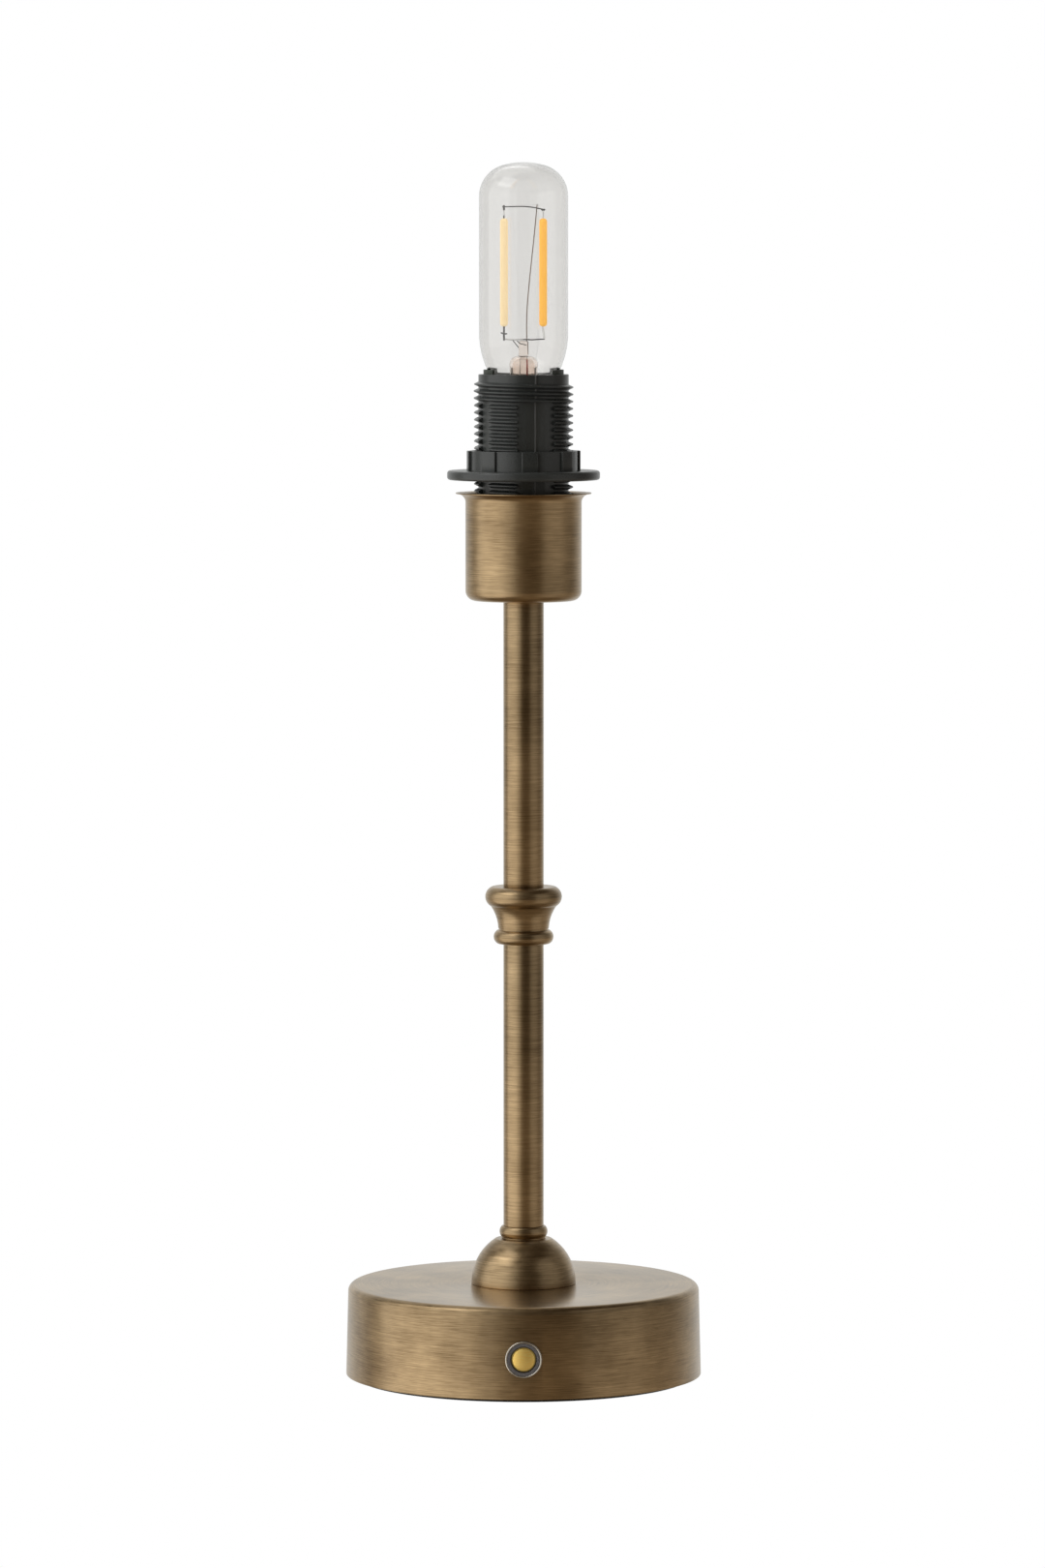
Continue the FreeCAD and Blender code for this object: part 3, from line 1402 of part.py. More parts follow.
for thing in document.Objects:
    if {"Invalid", "Error"} & set(thing.State):
        raise RuntimeError(f"{thing.Name} did not recompute: {thing.State}")
os.makedirs("parts", exist_ok=True)
for piece in nodes:
    shape = piece.Shape
    if shape.isNull() or not shape.isValid() or not shape.Solids:
        raise RuntimeError(f"{piece.Label} has no valid solid")
for piece in nodes:
    piece.Shape.exportStep(f"parts/{piece.Label}.step")
    box_of = piece.Shape.BoundBox
    print(f"{piece.Label}: {len(piece.Shape.Solids)} solid(s), {piece.Shape.Volume:.1f} mm3, "
          f"z {box_of.ZMin:.2f} to {box_of.ZMax:.2f}")
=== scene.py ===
"""Dresses the table lamp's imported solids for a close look: turned brass, a moulded
threaded lampholder, a clear tubular bulb and a push button, on a plain studio stage.

Outlines are in millimetres in the lamp's own frame: Z is up, the origin is the middle
of the foot pad's underside and the button faces -Y. Levels and radii come from the
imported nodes, so each piece sits where its solid does.
"""

from __future__ import annotations

import logging
import math
from dataclasses import dataclass
from enum import Enum
from typing import Iterable, Sequence, Union

import bmesh
import bpy
from mathutils import Matrix, Vector

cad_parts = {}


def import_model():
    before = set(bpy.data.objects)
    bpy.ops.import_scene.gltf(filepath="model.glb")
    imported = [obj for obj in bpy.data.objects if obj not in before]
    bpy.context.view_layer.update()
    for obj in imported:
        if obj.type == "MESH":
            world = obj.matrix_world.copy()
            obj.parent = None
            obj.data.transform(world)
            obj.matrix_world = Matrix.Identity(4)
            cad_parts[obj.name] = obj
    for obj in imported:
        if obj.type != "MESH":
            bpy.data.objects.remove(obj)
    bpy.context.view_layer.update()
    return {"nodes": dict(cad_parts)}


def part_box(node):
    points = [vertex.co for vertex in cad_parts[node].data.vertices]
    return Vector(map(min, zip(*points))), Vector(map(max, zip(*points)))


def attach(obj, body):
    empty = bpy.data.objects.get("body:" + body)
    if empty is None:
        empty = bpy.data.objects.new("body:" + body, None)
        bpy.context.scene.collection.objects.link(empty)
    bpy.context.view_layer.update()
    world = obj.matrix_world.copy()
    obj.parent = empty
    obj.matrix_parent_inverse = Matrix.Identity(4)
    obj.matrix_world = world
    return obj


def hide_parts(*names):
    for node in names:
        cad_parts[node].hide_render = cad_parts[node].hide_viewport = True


LOG = logging.getLogger("lamp")

MM = 0.001
AXIS = 1e-4
SLIVER = 0.01
ARC_STEP = 7
CORNER_TURN = math.radians(22)
CORNER_SHARE = 0.4
SHARP_EDGE = math.radians(32)
EDGE_STEPS = 3
WIRE_SIDES = 3
WIRE_STEPS = 8
THREAD_STEPS = 120
BAR_STEP = 2.5

Colour = tuple[float, float, float]
Entry = Union[tuple[float, float], tuple[float, float, float]]
Outline = Sequence[Entry]


class Body(str, Enum):
    """The moving and resting bodies that pieces ride on."""

    STAND = "stand"
    BUTTON = "button"
    RING = "shade_ring"
    TIP = "bulb_tip"
    BULB = "bulb"


# ---------------------------------------------------------------- node trees


class Graph:
    """Adds nodes to a node tree, sets their inputs and links them."""

    def __init__(self, tree: bpy.types.NodeTree) -> None:
        """Takes the tree that it works on."""
        self.tree = tree

    def add(self, kind: str, inputs: dict | None = None, **settings: object) -> bpy.types.Node:
        """Adds one node.

        Args:
            kind: The node's type name.
            inputs: Values or output sockets by input name or number.
            settings: Properties of the node itself.

        Returns:
            The new node.
        """
        node = self.tree.nodes.new(kind)
        for name, value in settings.items():
            setattr(node, name, value)
        for key, value in (inputs or {}).items():
            if isinstance(value, bpy.types.NodeSocket):
                self.tree.links.new(value, node.inputs[key])
            else:
                node.inputs[key].default_value = value
        return node

    def math(self, operation: str, *values: object) -> bpy.types.NodeSocket:
        """Adds a Math node and returns its result."""
        return self.add("ShaderNodeMath", dict(enumerate(values)), operation=operation).outputs[0]


class ShapeTree:
    """A Geometry Nodes tree with named inputs that ends in a plain mesh."""

    def __init__(self, name: str) -> None:
        """Starts an empty tree with one geometry output.

        Args:
            name: The tree's name.
        """
        self.tree = bpy.data.node_groups.new(name, "GeometryNodeTree")
        self.graph = Graph(self.tree)
        self.tree.interface.new_socket("Geometry", in_out="OUTPUT",
                                       socket_type="NodeSocketGeometry")
        self.identifiers: dict[str, str] = {}
        self.entry = self.graph.add("NodeGroupInput")
        self.values: dict[str, object] = {}

    def input(self, name: str, value: object) -> bpy.types.NodeSocket:
        """Adds a named input and returns its socket inside the tree.

        Args:
            name: The input's name.
            value: Its value, from which its kind follows.

        Returns:
            The socket inside the tree.
        """
        kind = "NodeSocketFloat"
        if isinstance(value, bpy.types.Material):
            kind = "NodeSocketMaterial"
        elif isinstance(value, int):
            kind = "NodeSocketInt"
        socket = self.tree.interface.new_socket(name, in_out="INPUT", socket_type=kind)
        self.identifiers[name] = socket.identifier
        self.values[name] = value
        return self.entry.outputs[name]

    def make(self, geometry: bpy.types.NodeSocket, material: bpy.types.Material) -> bpy.types.Mesh:
        """Ends the tree, runs it and returns its result as a plain mesh.

        Args:
            geometry: The socket with the finished shape.
            material: Its finish.

        Returns:
            A plain mesh with its faces outward.
        """
        finish = self.input("Material", material)
        real = self.graph.add("GeometryNodeRealizeInstances", {"Geometry": geometry})
        painted = self.graph.add("GeometryNodeSetMaterial",
                                 {"Geometry": real.outputs[0], "Material": finish})
        self.graph.add("NodeGroupOutput", {0: painted.outputs[0]})
        carrier = bpy.data.objects.new(self.tree.name, bpy.data.meshes.new(self.tree.name))
        bpy.context.scene.collection.objects.link(carrier)
        modifier = carrier.modifiers.new("shape", "NODES")
        modifier.node_group = self.tree
        for name, identifier in self.identifiers.items():
            modifier[identifier] = self.values[name]
        mesh = plain_mesh(carrier)
        carrier.modifiers.clear()
        bpy.data.objects.remove(carrier)
        return outward(mesh)


# ---------------------------------------------------------------- outlines


def bowed(start: Vector, end: Vector, bow: float) -> list[Vector]:
    """Points of an arc, its start left out.

    Args:
        start: Where the arc starts, as (radius, height).
        end: Where it ends.
        bow: How far its middle stands off the chord, positive on the right-hand side.

    Returns:
        The arc's points, about one for each arc step.
    """
    chord = end - start
    along = chord.normalized()
    side = Vector((along.y, -along.x)) * math.copysign(1, bow)
    rise = abs(bow)
    radius = (chord.length ** 2 / 4 + rise ** 2) / (rise * 2)
    half = math.atan2(chord.length / 2, radius - rise)
    centre = (start + end) / 2 + side * (rise - radius)
    steps = max(4, math.ceil(math.degrees(half) * 2 / ARC_STEP))
    angles = [half * (2 * step / steps - 1) for step in range(1, steps + 1)]
    return [centre + (side * math.cos(a) + along * math.sin(a)) * radius for a in angles]


def round_bow(radius: float, start: tuple[float, float], end: tuple[float, float]) -> float:
    """How far an arc of that radius stands off the chord between two points."""
    half = math.dist(start, end) / 2
    return radius - math.sqrt(radius ** 2 - half ** 2)


def expanded(outline: Outline) -> list[Vector]:
    """An outline of (radius, height[, bow]) entries as plain points.

    Args:
        outline: The entries, where a bow makes the next edge an arc.

    Returns:
        The points, with each arc broken into short edges.
    """
    points: list[Vector] = []
    for entry, following in zip(outline, [*outline[1:], outline[0]]):
        start, end = Vector(entry[:2]), Vector(following[:2])
        points.append(start)
        if len(entry) == 3:
            points += bowed(start, end, entry[2])[:-1]
    return points


def softened(points: list[Vector], setback: float) -> list[Vector]:
    """The same closed outline with each corner broken by a small curve.

    Args:
        points: The outline's points.
        setback: How far along its edges a corner is broken.

    Returns:
        The outline with its corners rounded.
    """
    result: list[Vector] = []
    for number, corner in enumerate(points):
        before, after = points[number - 1], points[(number + 1) % len(points)]
        inward, outward = corner - before, after - corner
        if corner.x < AXIS or inward.angle(outward) < CORNER_TURN:
            result.append(corner)
            continue
        reach = min(setback, inward.length * CORNER_SHARE, outward.length * CORNER_SHARE)
        first = corner - inward.normalized() * reach
        last = corner + outward.normalized() * reach
        for share in (0, 1 / 3, 2 / 3, 1):
            result.append(first.lerp(corner, share).lerp(corner.lerp(last, share), share))
    return result


# ---------------------------------------------------------------- meshes


def plain_mesh(source: bpy.types.Object) -> bpy.types.Mesh:
    """What an object looks like with its modifiers, as a mesh of its own.

    Args:
        source: The object, linked to the scene.

    Returns:
        The mesh.
    """
    view = bpy.context.evaluated_depsgraph_get()
    view.update()
    return bpy.data.meshes.new_from_object(source.evaluated_get(view))


def shade(mesh: bpy.types.Mesh) -> bpy.types.Mesh:
    """Makes faces that meet at a shallow angle smooth, and keeps edges elsewhere crisp.

    Args:
        mesh: The mesh to shade in place.

    Returns:
        The same mesh.
    """
    mesh.shade_smooth()
    mesh.set_sharp_from_angle(angle=SHARP_EDGE)
    return mesh


def lathe(name: str, outline: Outline, segments: int = 160, soft: float = 0.12) -> bpy.types.Mesh:
    """A turned mesh about the Z axis.

    Args:
        name: The mesh's name.
        outline: Anticlockwise (radius, height[, bow]) entries in millimetres.
        segments: How many faces go round.
        soft: How far each corner is broken, in millimetres.

    Returns:
        A closed mesh in metres, with its faces outward.
    """
    vertices: list[tuple[float, float, float]] = []
    rows: list[list[int]] = []
    for point in softened(expanded(outline), soft):
        first = len(vertices)
        if point.x < AXIS:
            rows.append([first])
            vertices.append((0.0, 0.0, point.y * MM))
            continue
        rows.append(list(range(first, first + segments)))
        for step in range(segments):
            turn = math.tau * step / segments
            vertices.append((point.x * MM * math.cos(turn), point.x * MM * math.sin(turn),
                             point.y * MM))
    faces: list[tuple[int, ...]] = []
    for low, high in zip(rows, [*rows[1:], rows[0]]):
        if len(low) == 1 and len(high) == 1:
            continue
        for here in range(segments):
            there = (here + 1) % segments
            if len(low) == 1:
                faces.append((low[0], high[there], high[here]))
            elif len(high) == 1:
                faces.append((low[here], low[there], high[0]))
            else:
                faces.append((low[here], low[there], high[there], high[here]))
    mesh = bpy.data.meshes.new(name)
    mesh.from_pydata(vertices, [], faces)
    mesh.validate()
    return shade(mesh)


def outward(mesh: bpy.types.Mesh) -> bpy.types.Mesh:
    """The closed mesh with its doubled vertices merged and its faces outward.

    Args:
        mesh: The mesh to mend in place.

    Returns:
        The same mesh.
    """
    work = bmesh.new()
    work.from_mesh(mesh)
    bmesh.ops.remove_doubles(work, verts=work.verts, dist=AXIS * MM)
    bmesh.ops.recalc_face_normals(work, faces=work.faces)
    work.to_mesh(mesh)
    work.free()
    return mesh


def eased(mesh: bpy.types.Mesh, width: float) -> bpy.types.Mesh:
    """The mesh with its sharp edges rounded over, by a width in millimetres.

    Args:
        mesh: The mesh to change in place.
        width: How far each edge is set back.

    Returns:
        The same mesh.
    """
    work = bmesh.new()
    work.from_mesh(mesh)
    edges = [edge for edge in work.edges
             if len(edge.link_faces) == 2 and edge.calc_face_angle() > SHARP_EDGE]
    bmesh.ops.bevel(work, geom=edges, offset=width * MM, segments=EDGE_STEPS, profile=0.5,
                    affect="EDGES", clamp_overlap=True)
    work.to_mesh(mesh)
    work.free()
    return shade(mesh)


def block(name: str, low: Sequence[float], high: Sequence[float]) -> bpy.types.Mesh:
    """A box between two corners in millimetres.

    Args:
        name: The mesh's name.
        low: The corner with the lowest values.
        high: The corner with the highest values.

    Returns:
        The box, its faces outward.
    """
    vertices = [(x * MM, y * MM, z * MM) for z in (low[2], high[2])
                for y in (low[1], high[1]) for x in (low[0], high[0])]
    faces = [(0, 2, 3, 1), (4, 5, 7, 6), (0, 1, 5, 4), (2, 6, 7, 3), (0, 4, 6, 2), (1, 3, 7, 5)]
    mesh = bpy.data.meshes.new(name)
    mesh.from_pydata(vertices, [], faces)
    return mesh


def moved(mesh: bpy.types.Mesh, matrix: Matrix) -> bpy.types.Mesh:
    """The mesh, moved in place.

    Args:
        mesh: The mesh.
        matrix: How it moves.

    Returns:
        The same mesh.
    """
    mesh.transform(matrix)
    mesh.update()
    return mesh


def facing_front(mesh: bpy.types.Mesh, forward: float, height: float) -> bpy.types.Mesh:
    """Turns a mesh made along +Z to face -Y, from a point so far forward and so high."""
    turn = Matrix.Rotation(math.radians(90), 4, "X")
    return moved(mesh, Matrix.Translation((0, -forward * MM, height * MM)) @ turn)


def joined(name: str, meshes: Iterable[bpy.types.Mesh]) -> bpy.types.Mesh:
    """Several meshes as one, each with its own vertices.

    Args:
        name: The new mesh's name.
        meshes: The meshes to put together.

    Returns:
        The new mesh.
    """
    work = bmesh.new()
    for mesh in meshes:
        work.from_mesh(mesh)
    result = bpy.data.meshes.new(name)
    work.to_mesh(result)
    work.free()
    return shade(result)


def cut_away(mesh: bpy.types.Mesh, tools: Iterable[bpy.types.Mesh]) -> bpy.types.Mesh:
    """The mesh with the space of each tool taken out of it.

    Args:
        mesh: The closed mesh to cut.
        tools: Closed meshes that show what goes.

    Returns:
        The cut mesh.
    """
    carrier = bpy.data.objects.new(mesh.name, mesh)
    bpy.context.scene.collection.objects.link(carrier)
    helpers = []
    for tool in tools:
        helper = bpy.data.objects.new(tool.name, tool)
        bpy.context.scene.collection.objects.link(helper)
        modifier = carrier.modifiers.new(tool.name, "BOOLEAN")
        modifier.operation = "DIFFERENCE"
        modifier.solver = "EXACT"
        modifier.object = helper
        helpers.append(helper)
    result = plain_mesh(carrier)
    carrier.modifiers.clear()
    for helper in [*helpers, carrier]:
        bpy.data.objects.remove(helper)
    return shade(result)


def tube(name: str, points: Sequence[Sequence[float]], radius: float,
         smooth: bool = False) -> bpy.types.Mesh:
    """A round wire through points in millimetres.

    Args:
        name: The mesh's name.
        points: The wire's route.
        radius: Its radius in millimetres.
        smooth: Whether the route is one flowing curve instead of straight runs.

    Returns:
        The wire with closed ends.
    """
    curve = bpy.data.curves.new(name, "CURVE")
    curve.dimensions = "3D"
    curve.bevel_depth = radius * MM
    curve.bevel_resolution = WIRE_SIDES
    curve.use_fill_caps = True
    spline = curve.splines.new("NURBS" if smooth else "POLY")
    spline.points.add(len(points) - 1)
    for point, place in zip(spline.points, points):
        point.co = (place[0] * MM, place[1] * MM, place[2] * MM, 1)
    if smooth:
        spline.order_u = 3
        spline.use_endpoint_u = True
        spline.resolution_u = WIRE_STEPS
    carrier = bpy.data.objects.new(name, curve)
    bpy.context.scene.collection.objects.link(carrier)
    mesh = plain_mesh(carrier)
    bpy.data.objects.remove(carrier)
    return shade(mesh)


def thread_ridge(name: str, radius: float, depth: float, foot: float, crest: float,
                 pitch: float, turns: float, material: bpy.types.Material) -> bpy.types.Mesh:
    """A right-handed thread ridge rising from Z = 0, by Geometry Nodes.

    Args:
        name: The mesh's name.
        radius: Radius of the ridge's middle, in millimetres.
        depth: How far the ridge reaches from foot to crest.
        foot: The ridge's width at its foot.
        crest: Its width at its crest.
        pitch: Rise for each turn.
        turns: How many turns it makes.
        material: Its finish.

    Returns:
        The ridge, starting at +X.
    """
    shape = ShapeTree(name)
    graph = shape.graph
    reach = shape.input("Radius", radius * MM)
    rotations = shape.input("Turns", float(turns))
    rise = graph.math("MULTIPLY", shape.input("Pitch", pitch * MM), rotations)
    spiral = graph.add("GeometryNodeCurveSpiral", {
        "Resolution": THREAD_STEPS, "Rotations": rotations, "Start Radius": reach,
        "End Radius": reach, "Height": rise})
    upright = graph.add("GeometryNodeSetCurveNormal", {"Curve": spiral.outputs[0]}, mode="Z_UP")
    section = graph.add("GeometryNodeCurvePrimitiveQuadrilateral", {
        "Bottom Width": shape.input("Foot", foot * MM),
        "Top Width": shape.input("Crest", crest * MM),
        "Height": shape.input("Depth", depth * MM), "Offset": 0.0}, mode="TRAPEZOID")
    turned = graph.add("GeometryNodeTransform",
                       {"Geometry": section.outputs[0], "Rotation": (0.0, 0.0, math.pi / 2)})
    sweep = graph.add("GeometryNodeCurveToMesh", {
        "Curve": upright.outputs[0], "Profile Curve": turned.outputs[0], "Fill Caps": True})
    return shape.make(sweep.outputs[0], material)


def ring_of_bars(name: str, count: int, radius: float, depth: float, height: float,
                 spread: float, first: float, material: bpy.types.Material) -> bpy.types.Mesh:
    """Curved bars evenly spread round the axis, their feet at Z = 0, by Geometry Nodes.

    Args:
        name: The mesh's name.
        count: How many bars there are.
        radius: Radius of the bars' middle, in millimetres.
        depth: Each bar's thickness along the radius.
        height: Each bar's height.
        spread: The angle that each bar covers, in degrees.
        first: The angle of the first bar's middle, in degrees from +X.
        material: Their finish.

    Returns:
        All the bars as one mesh.
    """
    shape = ShapeTree(name)
    graph = shape.graph
    number = shape.input("Count", count)
    sweep_angle = shape.input("Spread", math.radians(spread))
    tall = shape.input("Height", height * MM)
    arc = graph.add("GeometryNodeCurveArc", {
        "Resolution": max(8, round(spread / BAR_STEP)),
        "Radius": shape.input("Radius", radius * MM),
        "Start Angle": graph.math("SUBTRACT", shape.input("First", math.radians(first)),
                                  graph.math("DIVIDE", sweep_angle, 2.0)),
        "Sweep Angle": sweep_angle})
    upright = graph.add("GeometryNodeSetCurveNormal", {"Curve": arc.outputs[0]}, mode="Z_UP")
    section = graph.add("GeometryNodeCurvePrimitiveQuadrilateral", {
        "Width": shape.input("Depth", depth * MM), "Height": tall}, mode="RECTANGLE")
    bar = graph.add("GeometryNodeCurveToMesh", {
        "Curve": upright.outputs[0], "Profile Curve": section.outputs[0], "Fill Caps": True})
    lift = graph.add("ShaderNodeCombineXYZ", {"Z": graph.math("DIVIDE", tall, 2.0)})
    raised = graph.add("GeometryNodeTransform",
                       {"Geometry": bar.outputs[0], "Translation": lift.outputs[0]})
    points = graph.add("GeometryNodePoints", {"Count": number})
    step = graph.math("DIVIDE", math.tau, number)
    turn = graph.math("MULTIPLY", graph.add("GeometryNodeInputIndex").outputs[0], step)
    heading = graph.add("ShaderNodeCombineXYZ", {"Z": turn})
    copies = graph.add("GeometryNodeInstanceOnPoints", {
        "Points": points.outputs[0], "Instance": raised.outputs[0],
        "Rotation": heading.outputs[0]})
    return shape.make(copies.outputs[0], material)


# ---------------------------------------------------------------- finishes


def surface(name: str) -> tuple[bpy.types.Material, Graph, bpy.types.Node]:
    """A new material with its graph and its Principled shader.

    Args:
        name: The material's name.

    Returns:
        The material, its graph and its shader.
    """
    material = bpy.data.materials.new(name)
    material.use_nodes = True
    graph = Graph(material.node_tree)
    return material, graph, material.node_tree.nodes["Principled BSDF"]


def mixed(graph: Graph, factor: object, first: Colour, second: Colour) -> bpy.types.NodeSocket:
    """A colour between two, by a factor.

    Args:
        graph: Where the nodes go.
        factor: The socket that mixes, from 0 to 1.
        first: The colour at 0.
        second: The colour at 1.

    Returns:
        The colour's socket.
    """
    ramp = graph.add("ShaderNodeValToRGB", {0: factor})
    ramp.color_ramp.elements[0].color = (*first, 1)
    ramp.color_ramp.elements[1].color = (*second, 1)
    return ramp.outputs[0]


def between(graph: Graph, value: object, low: float, high: float) -> bpy.types.NodeSocket:
    """A value from 0 to 1 laid between two others."""
    laid = graph.add("ShaderNodeMapRange", {"Value": value, "To Min": low, "To Max": high})
    return laid.outputs[0]


@dataclass(frozen=True)
class BrushedMetal:
    """Metal brushed round the lathe's axis, with a clouded patina.

    Long streaks lie over short ones, and both fall into a slow clouding. Lengths are in
    millimetres.
    """

    name: str
    dark: Colour
    light: Colour
    roughness: float
    streak_length: float = 5.5
    streak_width: float = 0.2
    streak_depth: float = 0.3
    cloud: float = 0.35
    anisotropy: float = 0.5
    lacquer: float = 0.0
    lacquer_roughness: float = 0.22
    # glow: an emission in the metal's own colour, painted light that brightens it beyond what the
    # lamps give
    glow: float = 0.0
    streak_height: float = 0.02
    long_share: float = 0.5
    long_stretch: tuple[float, float, float] = (0.35, 0.35, 1.5)
    cloud_scale: float = 70.0
    contrast: tuple[float, float] = (-1.3, 2.3)
    unevenness: float = 0.06

    def build(self) -> bpy.types.Material:
        """Makes the material.

        Returns:
            The material, its pattern on object coordinates.
        """
        material, graph, shader = surface(self.name)
        place = graph.add("ShaderNodeTexCoord").outputs["Object"]
        parts = graph.add("ShaderNodeSeparateXYZ", {0: place})
        x, y, z = parts.outputs
        flat = graph.math("SQRT", graph.math("ADD", graph.math("MULTIPLY", x, x),
                                             graph.math("MULTIPLY", y, y)))
        across = graph.math("MULTIPLY", graph.math("ADD", z, flat), 1 / (self.streak_width * MM))
        along = 1 / (self.streak_length * MM)
        brush = graph.add("ShaderNodeCombineXYZ", {
            "X": graph.math("MULTIPLY", x, along), "Y": graph.math("MULTIPLY", y, along),
            "Z": across})
        short = graph.add("ShaderNodeTexNoise", {
            "Vector": brush.outputs[0], "Scale": 1.0, "Detail": 3.0, "Roughness": 0.6})
        drawn = graph.add("ShaderNodeMapping", {
            "Vector": brush.outputs[0], "Scale": self.long_stretch})
        long = graph.add("ShaderNodeTexNoise", {
            "Vector": drawn.outputs[0], "Scale": 1.0, "Detail": 2.0, "Roughness": 0.5})
        streaks = graph.math("ADD", graph.math("MULTIPLY", short.outputs[0], 1 - self.long_share),
                             graph.math("MULTIPLY", long.outputs[0], self.long_share))
        clouds = graph.add("ShaderNodeTexNoise", {
            "Vector": place, "Scale": self.cloud_scale, "Detail": 3.0, "Roughness": 0.55})
        tone = graph.math("ADD", graph.math("MULTIPLY", streaks, 1 - self.cloud),
                          graph.math("MULTIPLY", clouds.outputs[0], self.cloud))
        colour = mixed(graph, between(graph, tone, *self.contrast), self.dark, self.light)
        graph.tree.links.new(colour, shader.inputs["Base Color"])
        # Painted light: the metal glows in its own colour as if lit more strongly.
        if self.glow:
            graph.tree.links.new(colour, shader.inputs["Emission Color"])
            shader.inputs["Emission Strength"].default_value = self.glow
        graph.tree.links.new(between(graph, tone, self.roughness - self.unevenness,
                                     self.roughness + self.unevenness),
                             shader.inputs["Roughness"])
        bump = graph.add("ShaderNodeBump", {
            "Height": streaks, "Strength": self.streak_depth,
            "Distance": self.streak_height * MM})
        graph.tree.links.new(bump.outputs[0], shader.inputs["Normal"])
        tangent = graph.add("ShaderNodeTangent", direction_type="RADIAL", axis="Z")
        graph.tree.links.new(tangent.outputs[0], shader.inputs["Tangent"])
        shader.inputs["Metallic"].default_value = 1.0
        shader.inputs["Anisotropic"].default_value = self.anisotropy
        shader.inputs["Coat Weight"].default_value = self.lacquer
        shader.inputs["Coat Roughness"].default_value = self.lacquer_roughness
        return material


@dataclass(frozen=True)
class Grained:
    """A solid material with a fine grain and a slow change of tone."""

    name: str
    dark: Colour
    light: Colour
    roughness: float
    metallic: float = 0.0
    grain: float = 0.4
    depth: float = 0.15
    specular: float = 0.5
    # painted_glow: an emission in the surface's own colour, painted light for a part that is not
    # lit
    painted_glow: float = 0.0
    transmission: float = 0.0
    grain_height: float = 0.03
    slow_grain: float = 40.0
    unevenness: float = 0.05

    def build(self) -> bpy.types.Material:
        """Makes the material.

        Returns:
            The material, its pattern on object coordinates.
        """
        material, graph, shader = surface(self.name)
        place = graph.add("ShaderNodeTexCoord").outputs["Object"]
        fine = graph.add("ShaderNodeTexNoise", {
            "Vector": place, "Scale": 1 / (self.grain * MM), "Detail": 4.0, "Roughness": 0.6})
        slow = graph.add("ShaderNodeTexNoise", {
            "Vector": place, "Scale": 1 / (self.grain * self.slow_grain * MM), "Detail": 2.0})
        tone = graph.math("ADD", graph.math("MULTIPLY", fine.outputs[0], 0.5),
                          graph.math("MULTIPLY", slow.outputs[0], 0.5))
        colour = mixed(graph, tone, self.dark, self.light)
        graph.tree.links.new(colour, shader.inputs["Base Color"])
        graph.tree.links.new(between(graph, tone, self.roughness - self.unevenness,
                                     self.roughness + self.unevenness),
                             shader.inputs["Roughness"])
        bump = graph.add("ShaderNodeBump", {
            "Height": fine.outputs[0], "Strength": self.depth,
            "Distance": self.grain_height * MM})
        graph.tree.links.new(bump.outputs[0], shader.inputs["Normal"])
        shader.inputs["Metallic"].default_value = self.metallic
        shader.inputs["Specular IOR Level"].default_value = self.specular
        if self.transmission:
            shader.inputs["Transmission Weight"].default_value = self.transmission
        # Painted light: the surface glows in its own colour.
        if self.painted_glow:
            graph.tree.links.new(colour, shader.inputs["Emission Color"])
            shader.inputs["Emission Strength"].default_value = self.painted_glow
        return material


@dataclass(frozen=True)
class Glass:
    """Clear glass with a slight unevenness, tinted through its thickness."""

    name: str
    tint: Colour
    roughness: float = 0.01
    index: float = 1.47
    smoke: float = 0.0
    smoke_tint: Colour = (0.5, 0.49, 0.46)
    wave_scale: float = 60.0
    wave_tint: float = 0.97

    def build(self) -> bpy.types.Material:
        """Makes the material.

        Returns:
            The material, its pattern on object coordinates.
        """
        material, graph, shader = surface(self.name)
        place = graph.add("ShaderNodeTexCoord").outputs["Object"]
        waves = graph.add("ShaderNodeTexNoise", {
            "Vector": place, "Scale": self.wave_scale, "Detail": 1.0})
        darker = tuple(channel * self.wave_tint for channel in self.tint)
        graph.tree.links.new(mixed(graph, waves.outputs[0], darker, self.tint),
                             shader.inputs["Base Color"])
        graph.tree.links.new(between(graph, waves.outputs[0], self.roughness * 0.5,
                                     self.roughness * 1.5), shader.inputs["Roughness"])
        shader.inputs["Transmission Weight"].default_value = 1.0
        shader.inputs["IOR"].default_value = self.index
        if self.smoke:
            inside = graph.add("ShaderNodeVolumeAbsorption", {
                "Color": (*self.smoke_tint, 1), "Density": self.smoke})
            output = material.node_tree.nodes["Material Output"]
            graph.tree.links.new(inside.outputs[0], output.inputs["Volume"])
        return material


